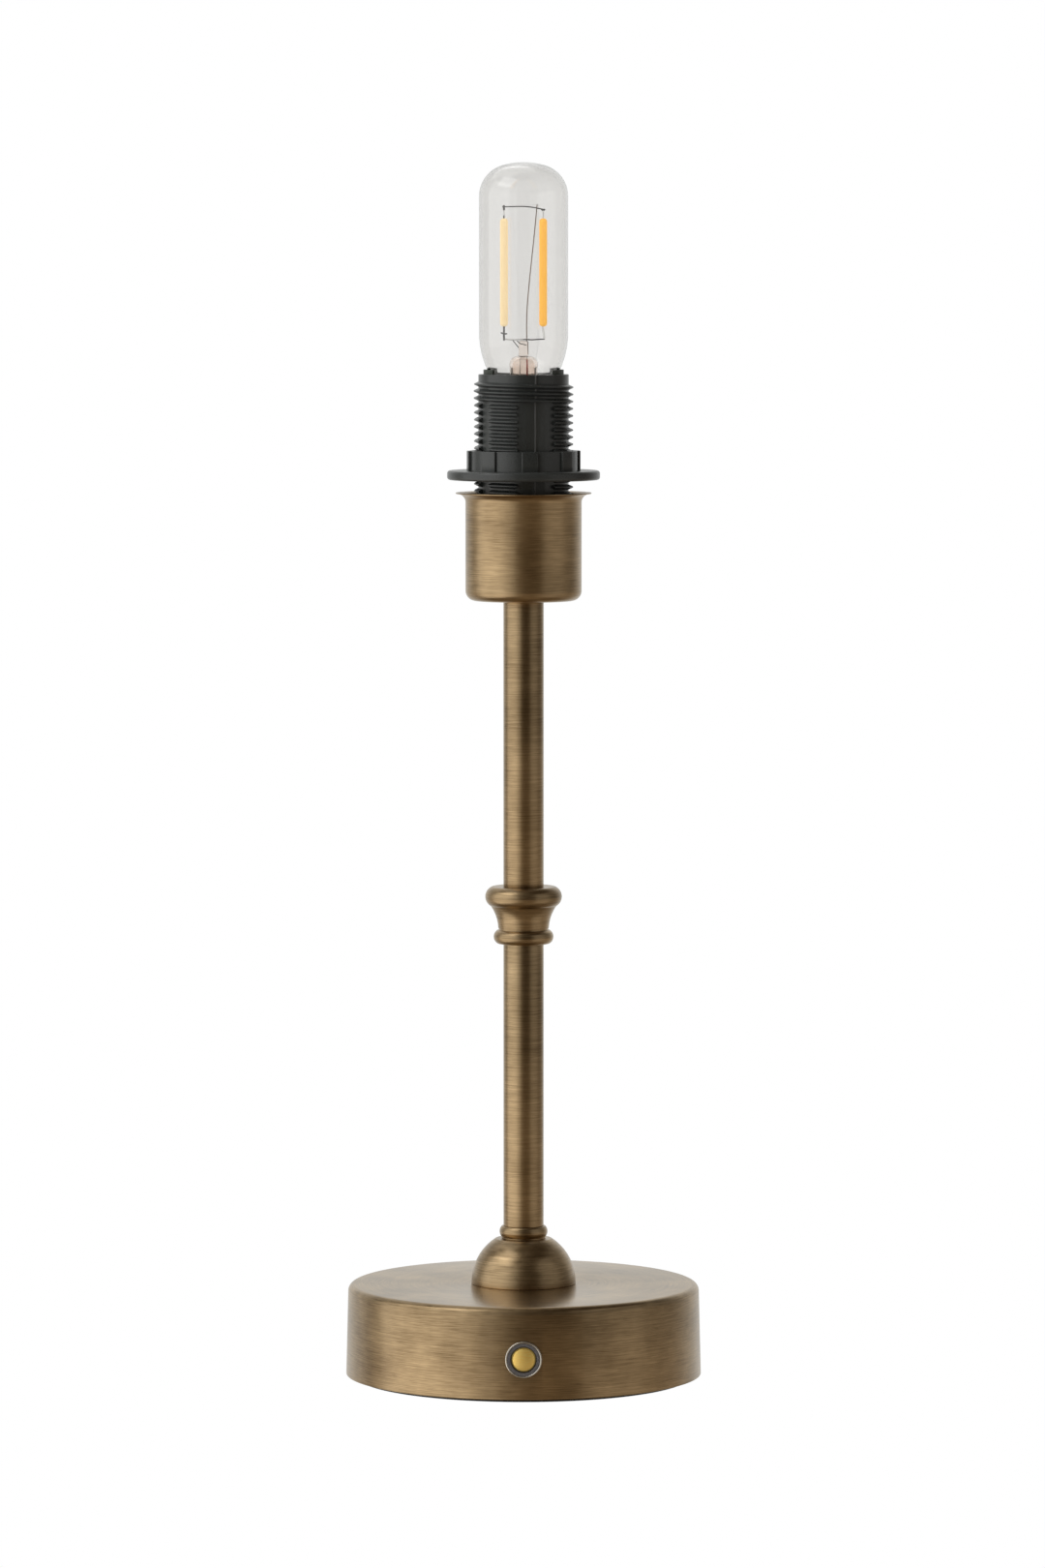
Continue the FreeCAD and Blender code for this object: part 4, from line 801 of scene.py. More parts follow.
FINISHES = (
    BrushedMetal("aged_brass", (0.215, 0.142, 0.064), (0.62, 0.448, 0.245), 0.30, lacquer=0.5),
    # The button's gold glows a little by emission: painted light on a cap that is no lamp.
    BrushedMetal("button_gold", (0.95, 0.56, 0.10), (1.0, 0.78, 0.26), 0.5,
                 streak_length=2.0, streak_width=0.15, anisotropy=0.0, lacquer=0.3, glow=0.14),
    BrushedMetal("bezel_steel", (0.62, 0.59, 0.53), (0.90, 0.87, 0.80), 0.32, streak_length=3.0,
                 lacquer=0.6),
    BrushedMetal("zinc_steel", (0.38, 0.39, 0.40), (0.66, 0.67, 0.68), 0.34, streak_length=3.0),
    BrushedMetal("cap_nickel", (0.45, 0.44, 0.42), (0.76, 0.74, 0.71), 0.25, streak_length=4.0),
    BrushedMetal("contact_brass", (0.45, 0.32, 0.14), (0.82, 0.62, 0.32), 0.30, streak_length=2.0),
    Grained("ballast_iron", (0.10, 0.10, 0.10), (0.22, 0.21, 0.20), 0.55, metallic=0.8),
    Grained("nickel", (0.50, 0.49, 0.46), (0.70, 0.69, 0.66), 0.32, metallic=1.0),
    Grained("solder", (0.45, 0.45, 0.46), (0.68, 0.68, 0.69), 0.35, metallic=1.0),
    Grained("support_wire", (0.05, 0.048, 0.045), (0.12, 0.115, 0.11), 0.42, metallic=0.6,
            grain=0.2),
    Grained("copper_red", (0.50, 0.05, 0.03), (0.75, 0.12, 0.07), 0.4, metallic=0.3, grain=0.2),
    Grained("wire_brown", (0.13, 0.09, 0.065), (0.26, 0.19, 0.14), 0.4, metallic=0.5, grain=0.2),
    Grained("pad_rubber", (0.012, 0.012, 0.012), (0.03, 0.03, 0.03), 0.75, depth=0.4),
    Grained("cover_plastic", (0.02, 0.02, 0.02), (0.05, 0.05, 0.05), 0.5),
    Grained("tray_plastic", (0.20, 0.20, 0.21), (0.32, 0.32, 0.33), 0.5),
    Grained("cell_sleeve", (0.06, 0.26, 0.22), (0.12, 0.38, 0.32), 0.35),
    Grained("board_green", (0.01, 0.12, 0.05), (0.03, 0.22, 0.10), 0.4),
    Grained("part_black", (0.012, 0.012, 0.013), (0.035, 0.035, 0.036), 0.45),
    Grained("holder_black", (0.034, 0.039, 0.038), (0.098, 0.108, 0.104), 0.28, grain=0.25,
            depth=0.2, specular=0.65),
    Grained("seam_grey", (0.12, 0.125, 0.12), (0.21, 0.215, 0.21), 0.3, grain=0.25),
    Grained("tinned", (0.62, 0.62, 0.60), (0.80, 0.80, 0.78), 0.3, metallic=0.9, grain=0.2),
    Grained("light_guide", (0.30, 0.285, 0.29), (0.50, 0.48, 0.49), 0.18, grain=0.6,
            transmission=0.25),
    Grained("block_grey", (0.035, 0.045, 0.035), (0.075, 0.09, 0.07), 0.5, grain=0.25),
    Grained("live_sleeve", (0.20, 0.06, 0.02), (0.34, 0.12, 0.05), 0.4),
    Grained("neutral_sleeve", (0.03, 0.10, 0.35), (0.06, 0.18, 0.50), 0.4),
    Grained("cap_glass_black", (0.008, 0.008, 0.010), (0.02, 0.02, 0.024), 0.15),
    # The filaments glow by emission: painted light standing in for the studio light on their
    # coating.
    Grained("filament_amber", (0.90, 0.42, 0.035), (1.0, 0.53, 0.075), 0.6, painted_glow=0.6),
    Grained("filament_pale", (0.95, 0.70, 0.34), (1.0, 0.80, 0.48), 0.6, painted_glow=0.45),
    Glass("clear_glass", (0.93, 0.925, 0.915), smoke=190.0),
    Glass("flare_glass", (0.97, 0.88, 0.82), roughness=0.08),
)

NODE_FINISHES = {
    "bottom_cover": "cover_plastic", "cover_screws": "zinc_steel", "weight_plate": "ballast_iron",
    "pillars": "zinc_steel", "battery_tray": "tray_plastic", "tray_screws": "zinc_steel",
    "battery_cells": "cell_sleeve", "nickel_strips": "nickel", "driver_board": "board_green",
    "board_components": "part_black", "bezel_nut": "zinc_steel", "switch_plunger": "part_black",
    "tact_switch": "part_black", "switch_board": "board_green", "switch_foot": "tray_plastic",
    "charge_inlet": "nickel", "inlet_board": "board_green", "inlet_block": "tray_plastic",
    "threaded_rod": "zinc_steel", "base_washer": "zinc_steel", "base_nut": "zinc_steel",
    "cup_washer": "zinc_steel", "cup_nut": "zinc_steel", "holder_base": "holder_black",
    "grub_screw": "zinc_steel", "screw_shell": "cap_nickel", "centre_contact": "contact_brass",
    "side_contact": "contact_brass", "terminal_blocks": "contact_brass",
    "terminal_screws": "zinc_steel", "live_wire": "live_sleeve", "neutral_wire": "neutral_sleeve",
    "cap_insulator": "cap_glass_black", "bulb_driver": "board_green",
}


@dataclass
class Workshop:
    """Keeps the finishes and hands each new piece to its body."""

    finishes: dict[str, bpy.types.Material]

    def piece(self, name: str, mesh: bpy.types.Mesh, finish: str, body: Body,
              stands_for: Sequence[str] = ()) -> bpy.types.Object:
        """Puts a mesh in the scene as a piece of the lamp.

        Args:
            name: The piece's name.
            mesh: Its mesh, in place.
            finish: The name of its finish.
            body: The body it rides on.
            stands_for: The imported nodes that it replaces.

        Returns:
            The new object.
        """
        mesh.materials.clear()
        mesh.materials.append(self.finishes[finish])
        thing = bpy.data.objects.new(name, mesh)
        bpy.context.scene.collection.objects.link(thing)
        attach(thing, body.value)
        if stands_for:
            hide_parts(*stands_for)
        LOG.info("%s: %s, rides on %s", name, finish, body.value)
        return thing


def level(node: str) -> tuple[float, float]:
    """A node's lowest and highest height, in millimetres."""
    low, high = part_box(node)
    return low.z / MM, high.z / MM


def half_width(node: str) -> float:
    """Half of a node's width along X, in millimetres."""
    low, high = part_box(node)
    return (high.x - low.x) / 2 / MM


# ---------------------------------------------------------------- base and column


@dataclass
class Base:
    """The brass drum, its foot pad and the hole for the button."""

    draft: float = 0.6
    wall: float = 1.6
    roof: float = 2.0
    edge: float = 2.0
    rod_hole: float = 4.1
    pad_edge: float = 0.3
    pad_inset: float = 2.7
    stud_radius: float = 1.5
    stud_depth: float = 5.0
    pillar_circle: float = 43.0
    pillar_turn: float = 30.0
    slot_width: float = 9.44
    slot_height: float = 3.76
    slot_from: float = 44.0
    slot_to: float = 54.0
    slot_points: int = 48

    def make(self, shop: Workshop, button: "Button") -> None:
        """Makes the shell, its studs and the pad.

        Args:
            shop: Keeps the finishes and takes each piece.
            button: The button whose hole the shell has.
        """
        foot, top = level("base_shell")
        radius = half_width("foot_pad") + self.pad_inset
        top_radius = radius - self.draft
        roof = top - self.roof
        outline = [
            (self.rod_hole, roof), (top_radius - self.wall, roof), (radius - self.wall, foot),
            (radius, foot), (top_radius, top - self.edge, quarter_bow(self.edge)),
            (top_radius - self.edge, top), (self.rod_hole, top),
        ]
        shell = lathe("base_shell", outline, segments=360, soft=0.15)
        shell = cut_away(shell, [*button.hole_tools(), self.inlet_tool(button.height)])
        shop.piece("brass_base", shell, "aged_brass", Body.STAND, ["base_shell"])

        studs = []
        for heading in (self.pillar_turn, 180 - self.pillar_turn, 180 + self.pillar_turn,
                        -self.pillar_turn):
            stud = lathe("stud", [(0, roof - self.stud_depth),
                                  (self.stud_radius, roof - self.stud_depth),
                                  (self.stud_radius, roof - SLIVER), (0, roof - SLIVER)],
                         segments=32)
            turn = math.radians(heading)
            shift = Vector((math.cos(turn), math.sin(turn), 0)) * self.pillar_circle * MM
            studs.append(moved(stud, Matrix.Translation(shift)))
        shop.piece("base_studs", joined("base_studs", studs), "aged_brass", Body.STAND,
                   ["base_shell"])

        low, high = level("foot_pad")
        pad_radius = half_width("foot_pad")
        pad = lathe("foot_pad", [(0, low), (pad_radius, low), (pad_radius, high), (0, high)],
                    segments=256, soft=self.pad_edge)
        shop.piece("rubber_pad", pad, "pad_rubber", Body.STAND, ["foot_pad"])

    def inlet_tool(self, height: float) -> bpy.types.Mesh:
        """The round-ended bar that cuts the charging slot in the back wall.

        Args:
            height: The slot's middle, in millimetres.

        Returns:
            The closed bar.
        """
        half = self.slot_height / 2
        reach = self.slot_width / 2 - half
        ring = []
        for step in range(self.slot_points):
            turn = math.tau * step / self.slot_points
            side = math.copysign(reach, math.cos(turn))
            ring.append((math.cos(turn) * half + side, math.sin(turn) * half + height))
        vertices = [(x * MM, y * MM, z * MM) for y in (self.slot_from, self.slot_to)
                    for x, z in ring]
        count = len(ring)
        faces: list[tuple[int, ...]] = [tuple(range(count)),
                                        tuple(range(count * 2 - 1, count - 1, -1))]
        for step in range(count):
            after = (step + 1) % count
            faces.append((after, step, step + count, after + count))
        mesh = bpy.data.meshes.new("inlet_tool")
        mesh.from_pydata(vertices, [], faces)
        return mesh


def quarter_bow(radius: float) -> float:
    """How far a quarter round stands off its chord."""
    return radius * (1 - math.sqrt(0.5))


@dataclass
class Button:
    """The push button in the front wall: bezel, clear ring and low-domed cap."""

    height: float = 12.3
    wall_radius: float = 50.015
    spot_depth: float = 0.35
    clearance: float = 0.1
    cut_front: float = 3.0
    cut_back: float = 4.0
    radius: float = 5.1
    flange: float = 1.2
    rim: float = 0.5
    sleeve_radius: float = 4.6
    sleeve_wall: float = 0.6
    sleeve_length: float = 5.6
    ring_clearance: float = 0.05
    ring_depth: float = 6.0
    cap_radius: float = 3.3
    cap_gap: float = 0.15
    cap_stand: float = 0.3
    cap_crown: float = 0.55
    cap_edge: float = 0.35
    cap_depth: float = 4.6
    stem_radius: float = 1.6
    stem_length: float = 2.4
    # A thin black sleeve lines the ring's bore: painted shade for the gap round the cap.
    gap_shade_sleeve: float = 0.22
    gap_shade_sleeve_drop: float = 0.05

    @property
    def forward(self) -> float:
        """How far forward the bezel's seat is."""
        return self.wall_radius - self.spot_depth

    def hole_tools(self) -> list[bpy.types.Mesh]:
        """The two plugs that cut the spot face and the hole in the shell.

        Returns:
            The plugs, in place.
        """
        tools = []
        for radius, back in ((self.radius, 0.0), (self.sleeve_radius, -self.cut_back)):
            plug = lathe("plug", [(0, back), (radius + self.clearance, back),
                                  (radius + self.clearance, self.cut_front),
                                  (0, self.cut_front)], segments=96, soft=0)
            tools.append(facing_front(plug, self.forward, self.height))
        return tools

    def make(self, shop: Workshop) -> None:
        """Makes the three pieces that show, and a black sleeve between ring and cap that paints
        the shade in the gap.

        Args:
            shop: Keeps the finishes and takes each piece.
        """
        bore = self.sleeve_radius - self.sleeve_wall
        counterbore = self.radius - self.rim
        seat = self.flange - self.rim * 2
        round_edge = self.rim / 2
        bezel = lathe("bezel", [
            (bore, -self.sleeve_length), (self.sleeve_radius, -self.sleeve_length),
            (self.sleeve_radius, 0), (self.radius, 0),
            (self.radius, self.flange - round_edge, round_edge),
            (counterbore, self.flange - round_edge),
            (counterbore, seat), (bore, seat),
        ], segments=96, soft=0.05)
        shop.piece("bezel", facing_front(bezel, self.forward, self.height), "bezel_steel",
                   Body.STAND, ["button_bezel"])

        ring_bore = self.cap_radius + self.cap_gap
        pipe = bore - self.ring_clearance
        flange = counterbore - self.ring_clearance
        front = self.flange - self.rim / 4
        split = ring_bore + self.gap_shade_sleeve
        ring = lathe("guide", [
            (split, seat - self.ring_depth), (pipe, seat - self.ring_depth), (pipe, seat),
            (flange, seat), (flange, front), (split, front)], segments=96, soft=0.08)
        shop.piece("guide_ring", facing_front(ring, self.forward, self.height), "light_guide",
                   Body.STAND, ["light_ring"])
        # Painted shade: a black sleeve inside the ring's bore darkens the gap round the cap.
        gap_shade_sleeve = lathe("gap_shade_sleeve", [
            (ring_bore, seat - self.ring_depth), (split - SLIVER, seat - self.ring_depth),
            (split - SLIVER, front - self.gap_shade_sleeve_drop), (ring_bore, front - self.gap_shade_sleeve_drop)],
            segments=96, soft=0.04)
        shop.piece("guide_gap_shade_sleeve", facing_front(gap_shade_sleeve, self.forward, self.height), "part_black",
                   Body.STAND, ["light_ring"])

        face = self.flange + self.cap_stand
        back = face - self.cap_depth
        foot = back - self.stem_length
        cap = lathe("cap", [
            (0, foot), (self.stem_radius, foot), (self.stem_radius, back),
            (self.cap_radius, back), (self.cap_radius, face - self.cap_crown - self.cap_edge),
            (self.cap_radius - self.cap_edge, face - self.cap_crown, self.cap_crown / 4),
            (0, face),
        ], segments=96, soft=0.16)
        shop.piece("push_cap", facing_front(cap, self.forward, self.height), "button_gold",
                   Body.BUTTON, ["button_cap"])


@dataclass
class Column:
    """The turned brass pieces between the base and the lampholder."""

    rod_hole: float = 4.1
    dome_radius: float = 14.75
    dome_foot: float = 0.35
    groove_radius: float = 6.2
    groove: float = 0.4
    bead_radius: float = 6.8
    bead_bow: float = 0.7
    stem_bore: float = 4.4
    knop_bead_radius: float = 8.45
    knop_bead_height: float = 3.8
    knop_bead_bow: float = 1.1
    knop_groove_radius: float = 7.0
    knop_groove: float = 0.6
    knop_neck_radius: float = 7.15
    knop_neck_bow: float = 0.45
    knop_shoulder_radius: float = 9.25
    knop_shoulder_height: float = 10.6
    knop_crown_radius: float = 8.9
    knop_crown_bow: float = 1.75
    cup_corner: float = 2.8
    cup_wall: float = 0.8
    cup_floor: float = 1.2
    lip_edge: float = 0.35
    flare_height: float = 2.6
    flare_bow: float = 0.75
    inner_bow: float = 0.7
    lip_reach: float = 2.75

    def make(self, shop: Workshop) -> None:
        """Makes each turned piece in place of its node.

        Args:
            shop: Keeps the finishes and takes each piece.
        """
        outlines = {
            "dome": self.dome(*level("dome")),
            "neck_bead": self.neck_bead(*level("neck_bead")),
            "lower_stem": self.stem("lower_stem"),
            "knop": self.knop(*level("knop")),
            "upper_stem": self.stem("upper_stem"),
            "cup": self.cup(*level("cup")),
        }
        for node, outline in outlines.items():
            mesh = lathe(node, outline, segments=192, soft=0.14)
            shop.piece("turned_" + node, mesh, "aged_brass", Body.STAND, [node])

    def dome(self, low: float, high: float) -> Outline:
        """The half ball on the base.

        Args:
            low: The node's foot, in millimetres.
            high: The node's top, in millimetres.

        Returns:
            Its closed outline.
        """
        rise = high - low
        neck = math.sqrt(self.dome_radius ** 2 - (rise - self.dome_foot) ** 2)
        start = (self.dome_radius, low + self.dome_foot)
        end = (neck, high)
        return [(self.rod_hole, low), (self.dome_radius, low),
                (*start, round_bow(self.dome_radius, start, end)), end, (self.rod_hole, high)]

    def neck_bead(self, low: float, high: float) -> Outline:
        """The small bead over its groove.

        Args:
            low: The node's foot, in millimetres.
            high: The node's top, in millimetres.

        Returns:
            Its closed outline.
        """
        edge = self.bead_radius - self.bead_bow
        return [(self.rod_hole, low), (self.groove_radius, low),
                (self.groove_radius, low + self.groove), (edge, low + self.groove, self.bead_bow),
                (edge, high), (self.rod_hole, high)]

    def stem(self, node: str) -> Outline:
        """One of the two plain tubes.

        Args:
            node: The tube's node.

        Returns:
            Its closed outline.
        """
        low, high = level(node)
        radius = half_width(node)
        return [(self.stem_bore, low), (radius, low), (radius, high), (self.stem_bore, high)]

    def knop(self, low: float, high: float) -> Outline:
        """The low bead, hollow neck and large bead at mid height.

        Args:
            low: The node's foot, in millimetres.
            high: The node's top, in millimetres.

        Returns:
            Its closed outline.
        """
        edge = self.knop_bead_radius - self.knop_bead_bow
        bead_top = low + self.knop_bead_height
        neck = bead_top + self.knop_groove
        return [
            (self.rod_hole, low), (edge, low, self.knop_bead_bow), (edge, bead_top),
            (self.knop_groove_radius, bead_top), (self.knop_groove_radius, neck),
            (self.knop_neck_radius, neck, -self.knop_neck_bow),
            (self.knop_shoulder_radius, low + self.knop_shoulder_height, self.knop_crown_bow),
            (self.knop_crown_radius, high), (self.rod_hole, high),
        ]

    def cup(self, low: float, high: float) -> Outline:
        """The spun cup with its thin flared lip.

        Args:
            low: The node's foot, in millimetres.
            high: The node's top, in millimetres.

        Returns:
            Its closed outline.
        """
        lip = half_width("cup")
        radius = lip - self.lip_reach
        inner = radius - self.cup_wall
        corner = self.cup_corner - self.cup_wall
        flare = high - self.flare_height
        floor = low + self.cup_floor
        return [
            (self.rod_hole, low), (radius - self.cup_corner, low, quarter_bow(self.cup_corner)),
            (radius, low + self.cup_corner), (radius, flare, -self.flare_bow),
            (lip, high - self.lip_edge), (lip, high, self.inner_bow), (inner, flare),
            (inner, floor + corner, -quarter_bow(corner)), (inner - corner, floor),
            (self.rod_hole, floor),
        ]


# ---------------------------------------------------------------- lampholder


@dataclass
class Holder:
    """The threaded barrel, the block in its mouth and the shade ring on its thread."""

    root: float = 12.7
    crest: float = 14.0
    bore: float = 11.4
    pitch: float = 2.0
    ridge_foot: float = 1.9
    ridge_crest: float = 0.34
    ridge_sink: float = 0.4
    rim_band: float = 1.7
    thread_end: float = 188.0
    flat_distance: float = 12.4
    flat_width: float = 11.0
    relief: float = 0.9
    flat_heading: float = -74.0
    slot_distance: float = 12.65
    slot_width: float = 4.4
    slot_turns: tuple[float, float] = (71.0, 109.0)
    full_thread: float = 7.6
    cutter_depth: float = 5.0
    seam_width: float = 0.42
    seam_heading: float = -74.6
    seam_rise: float = 0.2
    seam_rise_front: float = 0.3
    seam_root: float = 0.3
    seam_drop: float = 0.05
    seam_edge: float = 0.1
    block_radius: float = 11.3
    skirt_wall: float = 0.7
    tab_rise: float = 2.3
    tab_sink: float = 0.5
    tab_spread: float = 80.0
    block_bore: float = 7.45
    block_floor: float = 10.6
    skirt_height: float = 6.0
    ring_bore: float = 14.25
    ring_flange: float = 2.6
    ring_edge: float = 0.8
    ring_collar: float = 15.3
    rib_count: int = 8
    rib_radius: float = 16.0
    rib_spread: float = 16.9
    rib_first: float = 6.5
    rib_sink: float = 0.3
    rib_drop: float = 0.02
    rib_edge: float = 0.2

    def make(self, shop: Workshop) -> None:
        """Makes the barrel, the block and the ring.

        Args:
            shop: Keeps the finishes and takes each piece.
        """
        self.make_barrel(shop)
        self.make_block(shop)
        self.make_ring(shop)

    def make_barrel(self, shop: Workshop) -> None:
        """Makes the barrel: a core and a true thread, cut by the flats and grooves.

        Args:
            shop: Keeps the finishes and takes each piece.
        """
        low, high = level("holder_barrel")
        black = shop.finishes["holder_black"]
        core = lathe("core", [(self.bore, low), (self.root, low), (self.root, high),
                              (self.bore, high)], segments=192, soft=0.15)
        turns = math.floor((high - low - self.rim_band) / self.pitch * 2) / 2 - 0.5
        depth = self.crest - self.root + self.ridge_sink
        ridge = thread_ridge("thread", self.crest - depth / 2, depth, self.ridge_foot,
                             self.ridge_crest, self.pitch, turns, black)
        top = high - self.rim_band - self.pitch / 2
        spin = math.radians(self.thread_end) - math.tau * turns
        ridge = moved(ridge, Matrix.Translation((0, 0, (top - self.pitch * turns) * MM))
                      @ Matrix.Rotation(spin, 4, "Z"))
        tools = self.cutters(low, high - self.full_thread)
        core = cut_away(core, tools)
        ridge = cut_away(ridge, self.cutters(low, high - self.full_thread, self.relief))
        shop.piece("threaded_barrel", joined("barrel", [core, ridge]), "holder_black", Body.STAND,
                   ["holder_barrel"])
        flats_top = high - self.full_thread
        seam_top = high - self.seam_drop
        seams = [self.seam(low, flats_top, self.flat_distance + self.seam_rise, 0),
                 self.seam(flats_top, seam_top, self.root + self.seam_rise_front, 0),
                 self.seam(low, seam_top, self.root + self.seam_rise, 180)]
        shop.piece("mould_seams", joined("mould_seams", seams), "seam_grey", Body.STAND,
                   ["holder_barrel"])

    def cutters(self, low: float, high: float, relief: float = 0.0) -> list[bpy.types.Mesh]:
        """The boxes that cut the flats and grooves, deeper by the relief.

        Args:
            low: Where the cuts start, in millimetres.
            high: Where they end.
            relief: How much deeper than the flats they reach.

        Returns:
            The boxes, in place.
        """
        tools = []
        for side in (0, 180):
            cuts = [(self.flat_distance, self.flat_width, self.flat_heading + side)]
            cuts += [(self.slot_distance, self.slot_width, self.flat_heading + turn + side)
                     for turn in self.slot_turns]
            for distance, width, heading in cuts:
                tool = block("cutter", (distance - relief, -width / 2, low - 1),
                             (distance + self.cutter_depth, width / 2, high))
                tools.append(moved(tool, Matrix.Rotation(math.radians(heading), 4, "Z")))
        return tools

    def seam(self, low: float, high: float, reach: float, side: float) -> bpy.types.Mesh:
        """The fine raised line where the mould's halves met.

        Args:
            low: The line's foot, in millimetres.
            high: Its top.
            reach: How far from the axis it stands.
            side: Its turn from the front seam, in degrees.

        Returns:
            The line, in place.
        """
        half = self.seam_width / 2
        bar = block("seam", (self.bore + self.seam_root, -half, low), (reach, half, high))
        turn = Matrix.Rotation(math.radians(self.seam_heading + side), 4, "Z")
        return moved(eased(bar, self.seam_edge), turn)

    def make_block(self, shop: Workshop) -> None:
        """Makes the insulating block, its skirt and the two tabs in the barrel's mouth.

        Args:
            shop: Keeps the finishes and takes each piece.
        """
        low, high = level("contact_block")
        skirt_top = high - self.tab_rise
        block_top = skirt_top - self.skirt_height
        skirt = self.block_radius - self.skirt_wall
        body = lathe("block", [
            (0, low), (self.block_radius, low), (self.block_radius, skirt_top),
            (skirt, skirt_top), (skirt, block_top), (self.block_bore, block_top),
            (self.block_bore, low + self.block_floor), (0, low + self.block_floor)], segments=128)
        tabs = ring_of_bars("tabs", 2, self.block_radius - self.skirt_wall / 2, self.skirt_wall,
                            self.tab_rise + self.tab_sink, self.tab_spread, 0.0,
                            shop.finishes["block_grey"])
        tabs = moved(tabs, Matrix.Translation((0, 0, (skirt_top - self.tab_sink) * MM)))
        shop.piece("mouth_block", joined("mouth_block", [body, tabs]), "block_grey", Body.STAND,
                   ["contact_block"])

    def make_ring(self, shop: Workshop) -> None:
        """Makes the shade ring: flange, collar and eight grip ribs.

        Args:
            shop: Keeps the finishes and takes each piece.
        """
        low, high = level("shade_ring")
        flange = half_width("shade_ring")
        edge = self.ring_edge
        bow = quarter_bow(edge)
        body = lathe("ring", [
            (self.ring_bore, low), (flange - edge, low, bow), (flange, low + edge),
            (flange, low + self.ring_flange - edge, bow),
            (flange - edge, low + self.ring_flange), (self.ring_collar, low + self.ring_flange),
            (self.ring_collar, high), (self.ring_bore, high)], segments=192, soft=0.2)
        root = self.ring_collar - self.rib_sink
        foot = low + self.ring_flange - self.rib_sink
        ribs = ring_of_bars("ribs", self.rib_count, (self.rib_radius + root) / 2,
                            self.rib_radius - root, high - foot - self.rib_drop,
                            self.rib_spread, self.rib_first, shop.finishes["holder_black"])
        ribs = moved(eased(ribs, self.rib_edge), Matrix.Translation((0, 0, foot * MM)))
        shop.piece("ribbed_ring", joined("ribbed_ring", [body, ribs]), "holder_black", Body.RING,
                   ["shade_ring"])


# ---------------------------------------------------------------- bulb and socket


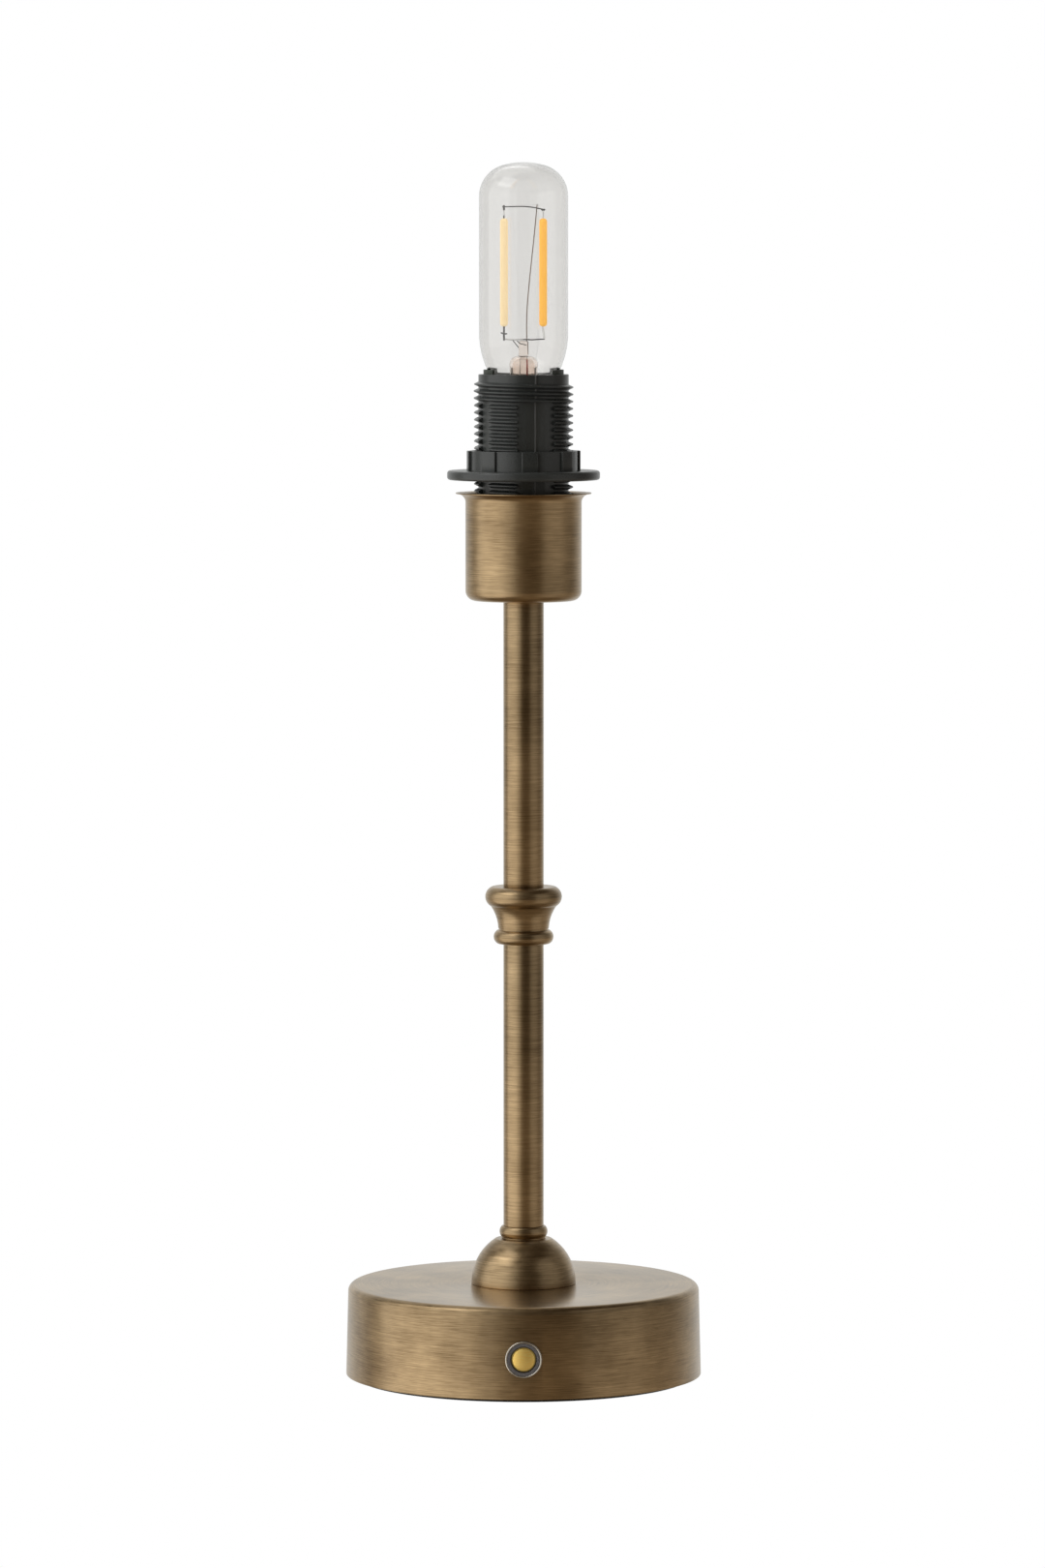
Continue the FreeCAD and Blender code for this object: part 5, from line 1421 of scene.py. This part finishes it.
@dataclass
class Bulb:
    """The clear tubular bulb: its cap, glass, stem, two filaments and wires."""

    radius: float = 12.5
    length: float = 85.0
    wall: float = 0.8
    crown_bow_radius: float = 9.0
    crown_top_radius: float = 21.5
    crown_start: float = 9.5
    crown_edge: float = 6.02
    crown_edge_drop: float = 0.86
    crown_inset: float = 0.35
    neck_radius: float = 5.8
    neck_foot: float = 17.5
    cap_height: float = 21.0
    shoulder_radius: float = 9.7
    shoulder_height: float = 25.8
    shoulder_bow: float = 0.55
    flank_height: float = 36.0
    flank_bow: float = 0.6
    inner_shoulder_rise: float = 0.2
    inner_neck_rise: float = 0.3
    stem_radius: float = 3.85
    stem_wall: float = 0.7
    stem_straight: float = 27.4
    stem_top: float = 30.8
    stem_bow: float = 1.128
    stem_inner_bow: float = 0.9
    stem_inner_top: float = 1.05
    flare_foot: float = 18.2
    flare_top: float = 18.9
    bead_radius: float = 1.4
    bead_shoulder: float = 34.4
    bead_bow: float = 0.2
    bead_tip: float = 0.7
    bead_top: float = 35.1
    cap_crest: float = 6.9
    cap_root: float = 6.2
    cap_bore: float = 5.85
    cap_foot: float = 4.43
    cap_neck: float = 17.4
    cap_flare: tuple[float, float] = (6.8, 20.6)
    cap_lip: tuple[float, float] = (7.2, 20.98)
    cap_pitch: float = 2.82
    cap_turns: float = 3.6
    cap_thread_foot: float = 6.2
    cap_ridge_foot: float = 2.2
    cap_ridge_crest: float = 0.5
    cap_ridge_sink: float = 0.3
    insulator_foot: float = 1.23
    insulator_lap: float = 0.05
    tip_radius: float = 2.4
    tip_height: float = 1.2
    tip_edge: float = 0.7
    wire_radius: float = 0.165
    frame_foot: float = 35.4
    frame_top: float = 72.4
    strip_radius: float = 1.1
    strip_place: float = 5.5
    strip_foot: float = 39.0
    strip_top: float = 69.3
    strip_end: float = 0.95
    strip_half_depth: float = 0.4
    strip_edge: float = 0.08
    lead_place: float = 0.9
    lead_radius: float = 0.22
    lead_route: tuple[tuple[float, float], ...] = (
        (1.0, 15.5), (1.0, 22.0), (1.2, 26.0), (1.1, 30.05))

    @property
    def foot(self) -> float:
        """The height of the bulb's tip."""
        return level("tip_contact")[0]

    def raised(self, mesh: bpy.types.Mesh) -> bpy.types.Mesh:
        """The mesh, made from the tip up, at its place in the lamp."""
        return moved(mesh, Matrix.Translation((0, 0, self.foot * MM)))

    def make(self, shop: Workshop) -> None:
        """Makes every piece of the bulb.

        Args:
            shop: Keeps the finishes and takes each piece.
        """
        self.make_cap(shop)
        shop.piece("bulb_envelope", self.raised(self.envelope()), "clear_glass", Body.BULB,
                   ["bulb_glass"])
        self.make_stem(shop)
        self.make_filaments(shop)
        self.make_wires(shop)

    def make_cap(self, shop: Workshop) -> None:
        """Makes the screw cap, the black insulator under it and the solder tip.

        Args:
            shop: Keeps the finishes and takes each piece.
        """
        shell = lathe("cap_shell", [
            (self.cap_bore, self.cap_foot), (self.cap_root, self.cap_foot),
            (self.cap_root, self.cap_neck), self.cap_flare, self.cap_lip,
            (self.neck_radius + SLIVER * 2, self.cap_lip[1]),
            (self.cap_bore, self.cap_flare[1])],
            segments=128, soft=0.06)
        depth = self.cap_crest - self.cap_root + self.cap_ridge_sink
        thread = thread_ridge("cap_thread", self.cap_crest - depth / 2, depth,
                              self.cap_ridge_foot, self.cap_ridge_crest, self.cap_pitch,
                              self.cap_turns, shop.finishes["cap_nickel"])
        thread = moved(thread, Matrix.Translation((0, 0, self.cap_thread_foot * MM)))
        shop.piece("screw_cap", self.raised(joined("screw_cap", [shell, thread])), "cap_nickel",
                   Body.BULB, ["bulb_cap"])
        insulator = lathe("insulator", [
            (0, self.insulator_foot), (self.tip_radius, self.insulator_foot),
            (self.cap_bore + self.insulator_lap, self.cap_foot - SLIVER),
            (0, self.cap_foot - SLIVER)], segments=96)
        shop.piece("insulator", self.raised(insulator), "cap_glass_black", Body.BULB,
                   ["cap_insulator"])
        tip = lathe("tip", [
            (0, 0), (self.tip_radius - self.tip_edge, 0, quarter_bow(self.tip_edge)),
            (self.tip_radius, self.tip_edge), (self.tip_radius, self.tip_height),
            (0, self.tip_height)], segments=64, soft=0.08)
        shop.piece("tip", self.raised(tip), "solder", Body.TIP, ["tip_contact"])

    def envelope(self) -> bpy.types.Mesh:
        """The glass tube: a waisted neck, a straight body and a domed end.

        Returns:
            The closed tube wall, made from the tip up.
        """
        crown = self.length - self.crown_start
        edge = (self.crown_edge, self.length - self.crown_edge_drop)
        corner = (self.radius, crown)
        inner = self.radius - self.wall
        inner_edge = (self.crown_edge - self.crown_inset, edge[1] - self.wall)
        inner_corner = (inner, crown)
        inner_top = (0.0, self.length - self.wall)
        return lathe("envelope", [
            (self.neck_radius, self.neck_foot),
            (self.neck_radius, self.cap_height, self.shoulder_bow),
            (self.shoulder_radius, self.shoulder_height, self.flank_bow),
            (self.radius, self.flank_height),
            (*corner, round_bow(self.crown_bow_radius, corner, edge)),
            (*edge, round_bow(self.crown_top_radius, edge, (0.0, self.length))),
            (0, self.length),
            (*inner_top, -round_bow(self.crown_top_radius, inner_top, inner_edge)),
            (*inner_edge, -round_bow(self.crown_bow_radius - self.wall, inner_edge, inner_corner)),
            inner_corner,
            (inner, self.flank_height, -self.flank_bow),
            (self.shoulder_radius - self.wall, self.shoulder_height + self.inner_shoulder_rise,
             -self.shoulder_bow),
            (self.neck_radius - self.wall, self.cap_height + self.inner_neck_rise),
            (self.neck_radius - self.wall, self.neck_foot),
        ], segments=192, soft=0.3)

    def make_stem(self, shop: Workshop) -> None:
        """Makes the flare inside the neck, its pinch and the tube end above.

        Args:
            shop: Keeps the finishes and takes each piece.
        """
        inner = self.stem_radius - self.stem_wall
        neck = self.neck_radius - self.wall - SLIVER
        flare = lathe("flare", [
            (inner, self.neck_foot), (neck, self.neck_foot), (neck, self.flare_foot),
            (self.stem_radius, self.flare_top),
            (self.stem_radius, self.stem_straight, self.stem_bow),
            (self.bead_radius, self.stem_top), (0, self.stem_top),
            (0, self.stem_top - self.stem_wall),
            (self.stem_inner_top, self.stem_top - self.stem_wall, -self.stem_inner_bow),
            (inner, self.stem_straight)], segments=96, soft=0.1)
        shop.piece("flare", self.raised(flare), "flare_glass", Body.BULB, ["glass_stem"])
        bead = lathe("bead", [
            (0, self.stem_top + SLIVER), (self.bead_radius, self.stem_top + SLIVER),
            (self.bead_radius, self.bead_shoulder, self.bead_bow),
            (self.bead_tip, self.bead_top - SLIVER * 2), (0, self.bead_top - SLIVER * 2)],
            segments=48, soft=0.1)
        shop.piece("pinch", self.raised(bead), "flare_glass", Body.BULB, ["stem_bead"])

    def make_filaments(self, shop: Workshop) -> None:
        """Makes the two coated strips, the left one paler.

        Args:
            shop: Keeps the finishes and takes each piece.
        """
        radius, end = self.strip_radius, self.strip_end
        # Both strips carry a painted glow from their finishes.
        for side, name, finish in ((-1, "left_filament", "filament_pale"),
                                   (1, "right_filament", "filament_amber")):
            strip = lathe(name, [
                (0, self.strip_foot), (radius - end, self.strip_foot, quarter_bow(end)),
                (radius, self.strip_foot + end), (radius, self.strip_top - end, quarter_bow(end)),
                (radius - end, self.strip_top), (0, self.strip_top)], segments=40, soft=0.1)
            strip = moved(strip, Matrix.Translation((side * self.strip_place * MM, 0, 0)))
            shop.piece(name, self.raised(strip), finish, Body.BULB, ["filaments"])

    def make_wires(self, shop: Workshop) -> None:
        """Makes the cross wires, the filaments' end strips, the middle wire and the leads.

        Args:
            shop: Keeps the finishes and takes each piece.
        """
        place, foot, top = self.strip_place, self.frame_foot, self.frame_top
        thin = self.wire_radius
        dark = [
            tube("upper_cross", [(-place - 0.5, 0, top + 0.1), (-2.0, 0, top + 0.25),
                                 (2.0, 0, top + 0.2), (place + 0.5, 0, top - 0.7)], thin,
                 smooth=True),
            self.strip("upper_left_strip", -place, top - 0.9, top + 0.6, 0.28),
            self.strip("upper_left_end", -place, self.strip_top - 0.2, self.strip_top + 0.9, 0.18),
            tube("upper_right_clip", [(place - 0.5, 0, top - 0.5), (place, 0, top - 1.1),
                                      (place + 0.5, 0, top - 0.5)], thin * 1.5),
            self.strip("lower_left_strip", -place, foot - 0.35, self.strip_foot + 0.2, 0.26),
            tube("lower_left_clip", [(-place - 0.9, 0, foot + 1.9), (-place, 0, foot + 1.5),
                                     (-place + 0.9, 0, foot + 1.6)], thin * 1.2),
            tube("left_brace", [(-3.0, 0, foot - 0.3), (-1.8, 0, foot - 1.7),
                                (-1.0, 0, foot - 2.9)], thin * 0.8, smooth=True),
            tube("inner_brace", [(-1.9, 0, foot - 0.4), (-0.9, 0, foot - 1.2),
                                 (0.6, 0, foot - 1.6)], thin * 0.8, smooth=True),
            tube("lower_cross", [(-0.2, 0, foot), (2.4, 0, foot - 0.1),
                                 (place + 0.5, 0, foot + 0.1)], thin * 1.1),
        ]
        shop.piece("bulb_wires", self.raised(joined("bulb_wires", dark)), "support_wire",
                   Body.BULB, ["support_wires"])
        middle = tube("middle_wire", [
            (1.0, 0, foot - 4.2), (0.85, 0, foot), (0.85, 0, foot + 8.0), (1.9, 0, foot + 19.0),
            (3.2, 0, top - 6.0), (3.8, 0, top + 0.75)], thin * 0.9, smooth=True)
        shop.piece("middle_wire", self.raised(middle), "wire_brown", Body.BULB,
                   ["support_wires"])
        bright = [
            self.strip("upper_left_link", -place, self.strip_top + 0.8, top - 0.8, 0.16),
            self.strip("upper_right_link", place, self.strip_top - 0.2, top - 0.9, 0.2),
            tube("lower_left_cross", [(-place, 0, foot + 0.1), (-2.6, 0, foot - 0.2),
                                      (0.0, 0, foot + 0.1)], thin * 1.2, smooth=True),
            tube("lower_right_link", [(place - 0.2, 0, self.strip_foot + 0.2),
                                      (place + 0.15, 0, foot + 1.7), (place + 0.4, 0, foot + 0.2)],
                 thin * 1.9),
        ]
        shop.piece("bulb_links", self.raised(joined("bulb_links", bright)), "tinned",
                   Body.BULB, ["support_wires"])
        for side, name, finish in ((-1, "left_lead", "tinned"),
                                   (1, "right_lead", "copper_red")):
            x = side * self.lead_place
            lead = tube(name, [(x * share, 0, height) for share, height in self.lead_route],
                        self.lead_radius, smooth=True)
            shop.piece(name, self.raised(lead), finish, Body.BULB, ["lead_wires"])

    def strip(self, name: str, place: float, low: float, high: float,
              half: float) -> bpy.types.Mesh:
        """A thin upright strip of metal at one of the filaments' ends.

        Args:
            name: The mesh's name.
            place: Where its middle is along X, in millimetres.
            low: Its foot, from the bulb's tip.
            high: Its top, from the bulb's tip.
            half: Half of its width.

        Returns:
            The strip, made from the tip up.
        """
        depth = self.strip_half_depth
        plate = block(name, (place - half, -depth, low), (place + half, depth, high))
        return eased(plate, self.strip_edge)


def dress_packed_nodes(shop: Workshop, nodes: dict[str, bpy.types.Object]) -> None:
    """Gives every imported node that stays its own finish.

    Args:
        shop: Keeps the finishes and takes each piece.
        nodes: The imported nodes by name.
    """
    for node, finish in NODE_FINISHES.items():
        mesh = nodes[node].data
        mesh.materials.clear()
        mesh.materials.append(shop.finishes[finish])
        LOG.info("%s: %s, kept as packed", node, finish)


# ---------------------------------------------------------------- studio


@dataclass
class SoftBox:
    """A soft light that faces the lamp from a heading and a height.

    Heading 0 is the camera's side, and 90 is its right hand.
    """

    name: str
    heading: float
    rise: float
    distance: float
    width: float
    height: float
    radiance: float
    tint: Colour = (1.0, 1.0, 1.0)

    def make(self, aim: Vector) -> None:
        """Hangs the light.

        Args:
            aim: The point that it faces.
        """
        light = bpy.data.lights.new(self.name, "AREA")
        light.shape = "RECTANGLE"
        light.size = self.width
        light.size_y = self.height
        light.energy = self.radiance * self.width * self.height * math.pi
        light.color = self.tint
        thing = bpy.data.objects.new(self.name, light)
        turn, lift = math.radians(self.heading), math.radians(self.rise)
        away = Vector((math.sin(turn) * math.cos(lift), -math.cos(turn) * math.cos(lift),
                       math.sin(lift)))
        thing.location = aim + away * self.distance
        thing.rotation_euler = away.to_track_quat("Z", "Y").to_euler()
        bpy.context.scene.collection.objects.link(thing)


@dataclass
class Studio:
    """The floor, the surroundings, the lights and the camera."""

    floor_reach: float = 2.6
    floor_gap: float = 0.0002
    aim: float = 0.1684
    offset: float = -0.0003
    pitch: float = 4.25
    distance: float = 2.075
    lens: float = 168.9
    sensor: float = 36.0
    clip: float = 0.01
    front_glow: Colour = (0.050, 0.037, 0.025)
    back_glow: Colour = (0.78, 0.79, 0.78)
    floor_glow: Colour = (0.19, 0.145, 0.10)
    back_span: tuple[float, float] = (0.4, 0.98)
    floor_span: tuple[float, float] = (-0.03, -0.2)
    floor_grey: float = 0.35
    floor_roughness: float = 0.8
    boxes: tuple[SoftBox, ...] = (
        SoftBox("left_box", -70.0, 0.0, 1.1, 1.5, 2.4, 0.96),
        SoftBox("far_left_box", -122.0, 0.0, 1.2, 0.7, 2.4, 0.19),
        SoftBox("left_fall_off", -26.0, 0.0, 1.3, 0.41, 2.0, 0.5),
        SoftBox("right_box", 62.0, 0.0, 1.2, 1.02, 2.4, 0.255),
        SoftBox("far_right_box", 108.0, 0.0, 1.2, 1.02, 2.4, 0.12),
        SoftBox("high_left_box", -62.0, 52.0, 1.3, 0.8, 0.7, 1.4),
        SoftBox("high_box", -150.0, 62.0, 1.3, 1.1, 1.1, 0.5),
    )

    def make(self) -> None:
        """Sets the stage and the camera."""
        self.make_floor()
        self.make_world()
        for box in self.boxes:
            box.make(Vector((0, 0, self.aim)))
        self.make_camera()

    def make_floor(self) -> None:
        """A plain pale floor just under the foot pad."""
        reach = self.floor_reach
        mesh = bpy.data.meshes.new("floor")
        mesh.from_pydata([(-reach, -reach, 0), (reach, -reach, 0), (reach, reach, 0),
                          (-reach, reach, 0)], [], [(0, 1, 2, 3)])
        floor = bpy.data.objects.new("floor", mesh)
        floor.location.z = -self.floor_gap
        bpy.context.scene.collection.objects.link(floor)
        material, graph, shader = surface("floor_paint")
        shader.inputs["Base Color"].default_value = (*[self.floor_grey] * 3, 1)
        shader.inputs["Roughness"].default_value = self.floor_roughness
        seen = graph.add("ShaderNodeLightPath")
        straight = graph.math("MAXIMUM", seen.outputs["Is Camera Ray"],
                              seen.outputs["Is Transmission Ray"])
        white = graph.add("ShaderNodeEmission", {"Color": (1, 1, 1, 1), "Strength": 1.0})
        mix = graph.add("ShaderNodeMixShader", {0: straight, 1: shader.outputs[0],
                                                2: white.outputs[0]})
        output = material.node_tree.nodes["Material Output"]
        graph.tree.links.new(mix.outputs[0], output.inputs["Surface"])
        mesh.materials.append(material)
        floor.visible_glossy = False

    def make_world(self) -> None:
        """Dim warm surroundings, bright behind the lamp, and white where seen directly."""
        world = bpy.data.worlds.new("studio")
        bpy.context.scene.world = world
        world.use_nodes = True
        graph = Graph(world.node_tree)
        heading = graph.add("ShaderNodeTexCoord").outputs["Generated"]
        parts = graph.add("ShaderNodeSeparateXYZ", {0: heading})
        behind, below = (
            graph.add("ShaderNodeMapRange", {
                "Value": parts.outputs[axis], "From Min": span[0], "From Max": span[1]},
                interpolation_type="SMOOTHSTEP").outputs[0]
            for axis, span in (("Y", self.back_span), ("Z", self.floor_span)))
        ahead = mixed(graph, below, self.front_glow, self.floor_glow)
        glow = graph.add("ShaderNodeMixRGB", {0: behind, 1: ahead,
                                              2: (*self.back_glow, 1)}).outputs[0]
        seen = graph.add("ShaderNodeLightPath")
        straight = graph.math("MAXIMUM", seen.outputs["Is Camera Ray"],
                              seen.outputs["Is Transmission Ray"])
        colour = graph.add("ShaderNodeMixRGB", {0: straight, 1: glow, 2: (1, 1, 1, 1)})
        back = world.node_tree.nodes["Background"]
        graph.tree.links.new(colour.outputs[0], back.inputs["Color"])

    def make_camera(self) -> None:
        """The long lens in front, a little above the lamp's middle."""
        camera = bpy.data.cameras.new("camera")
        camera.lens = self.lens
        camera.sensor_width = self.sensor
        camera.clip_start = self.clip
        thing = bpy.data.objects.new("camera", camera)
        pitch = math.radians(self.pitch)
        thing.location = (self.offset, -self.distance * math.cos(pitch),
                          self.aim + self.distance * math.sin(pitch))
        thing.rotation_euler = (math.pi / 2 - pitch, 0, 0)
        bpy.context.scene.collection.objects.link(thing)
        bpy.context.scene.camera = thing
        bpy.context.scene.view_settings.view_transform = "Standard"


def main() -> None:
    """Loads the frame, dresses the lamp and sets the studio round it."""
    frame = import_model()
    shop = Workshop({finish.name: finish.build() for finish in FINISHES})
    button = Button()
    Base().make(shop, button)
    button.make(shop)
    Column().make(shop)
    Holder().make(shop)
    Bulb().make(shop)
    dress_packed_nodes(shop, frame["nodes"])
    Studio().make()


if __name__ == "__main__":
    logging.basicConfig(level=logging.INFO)
    main()
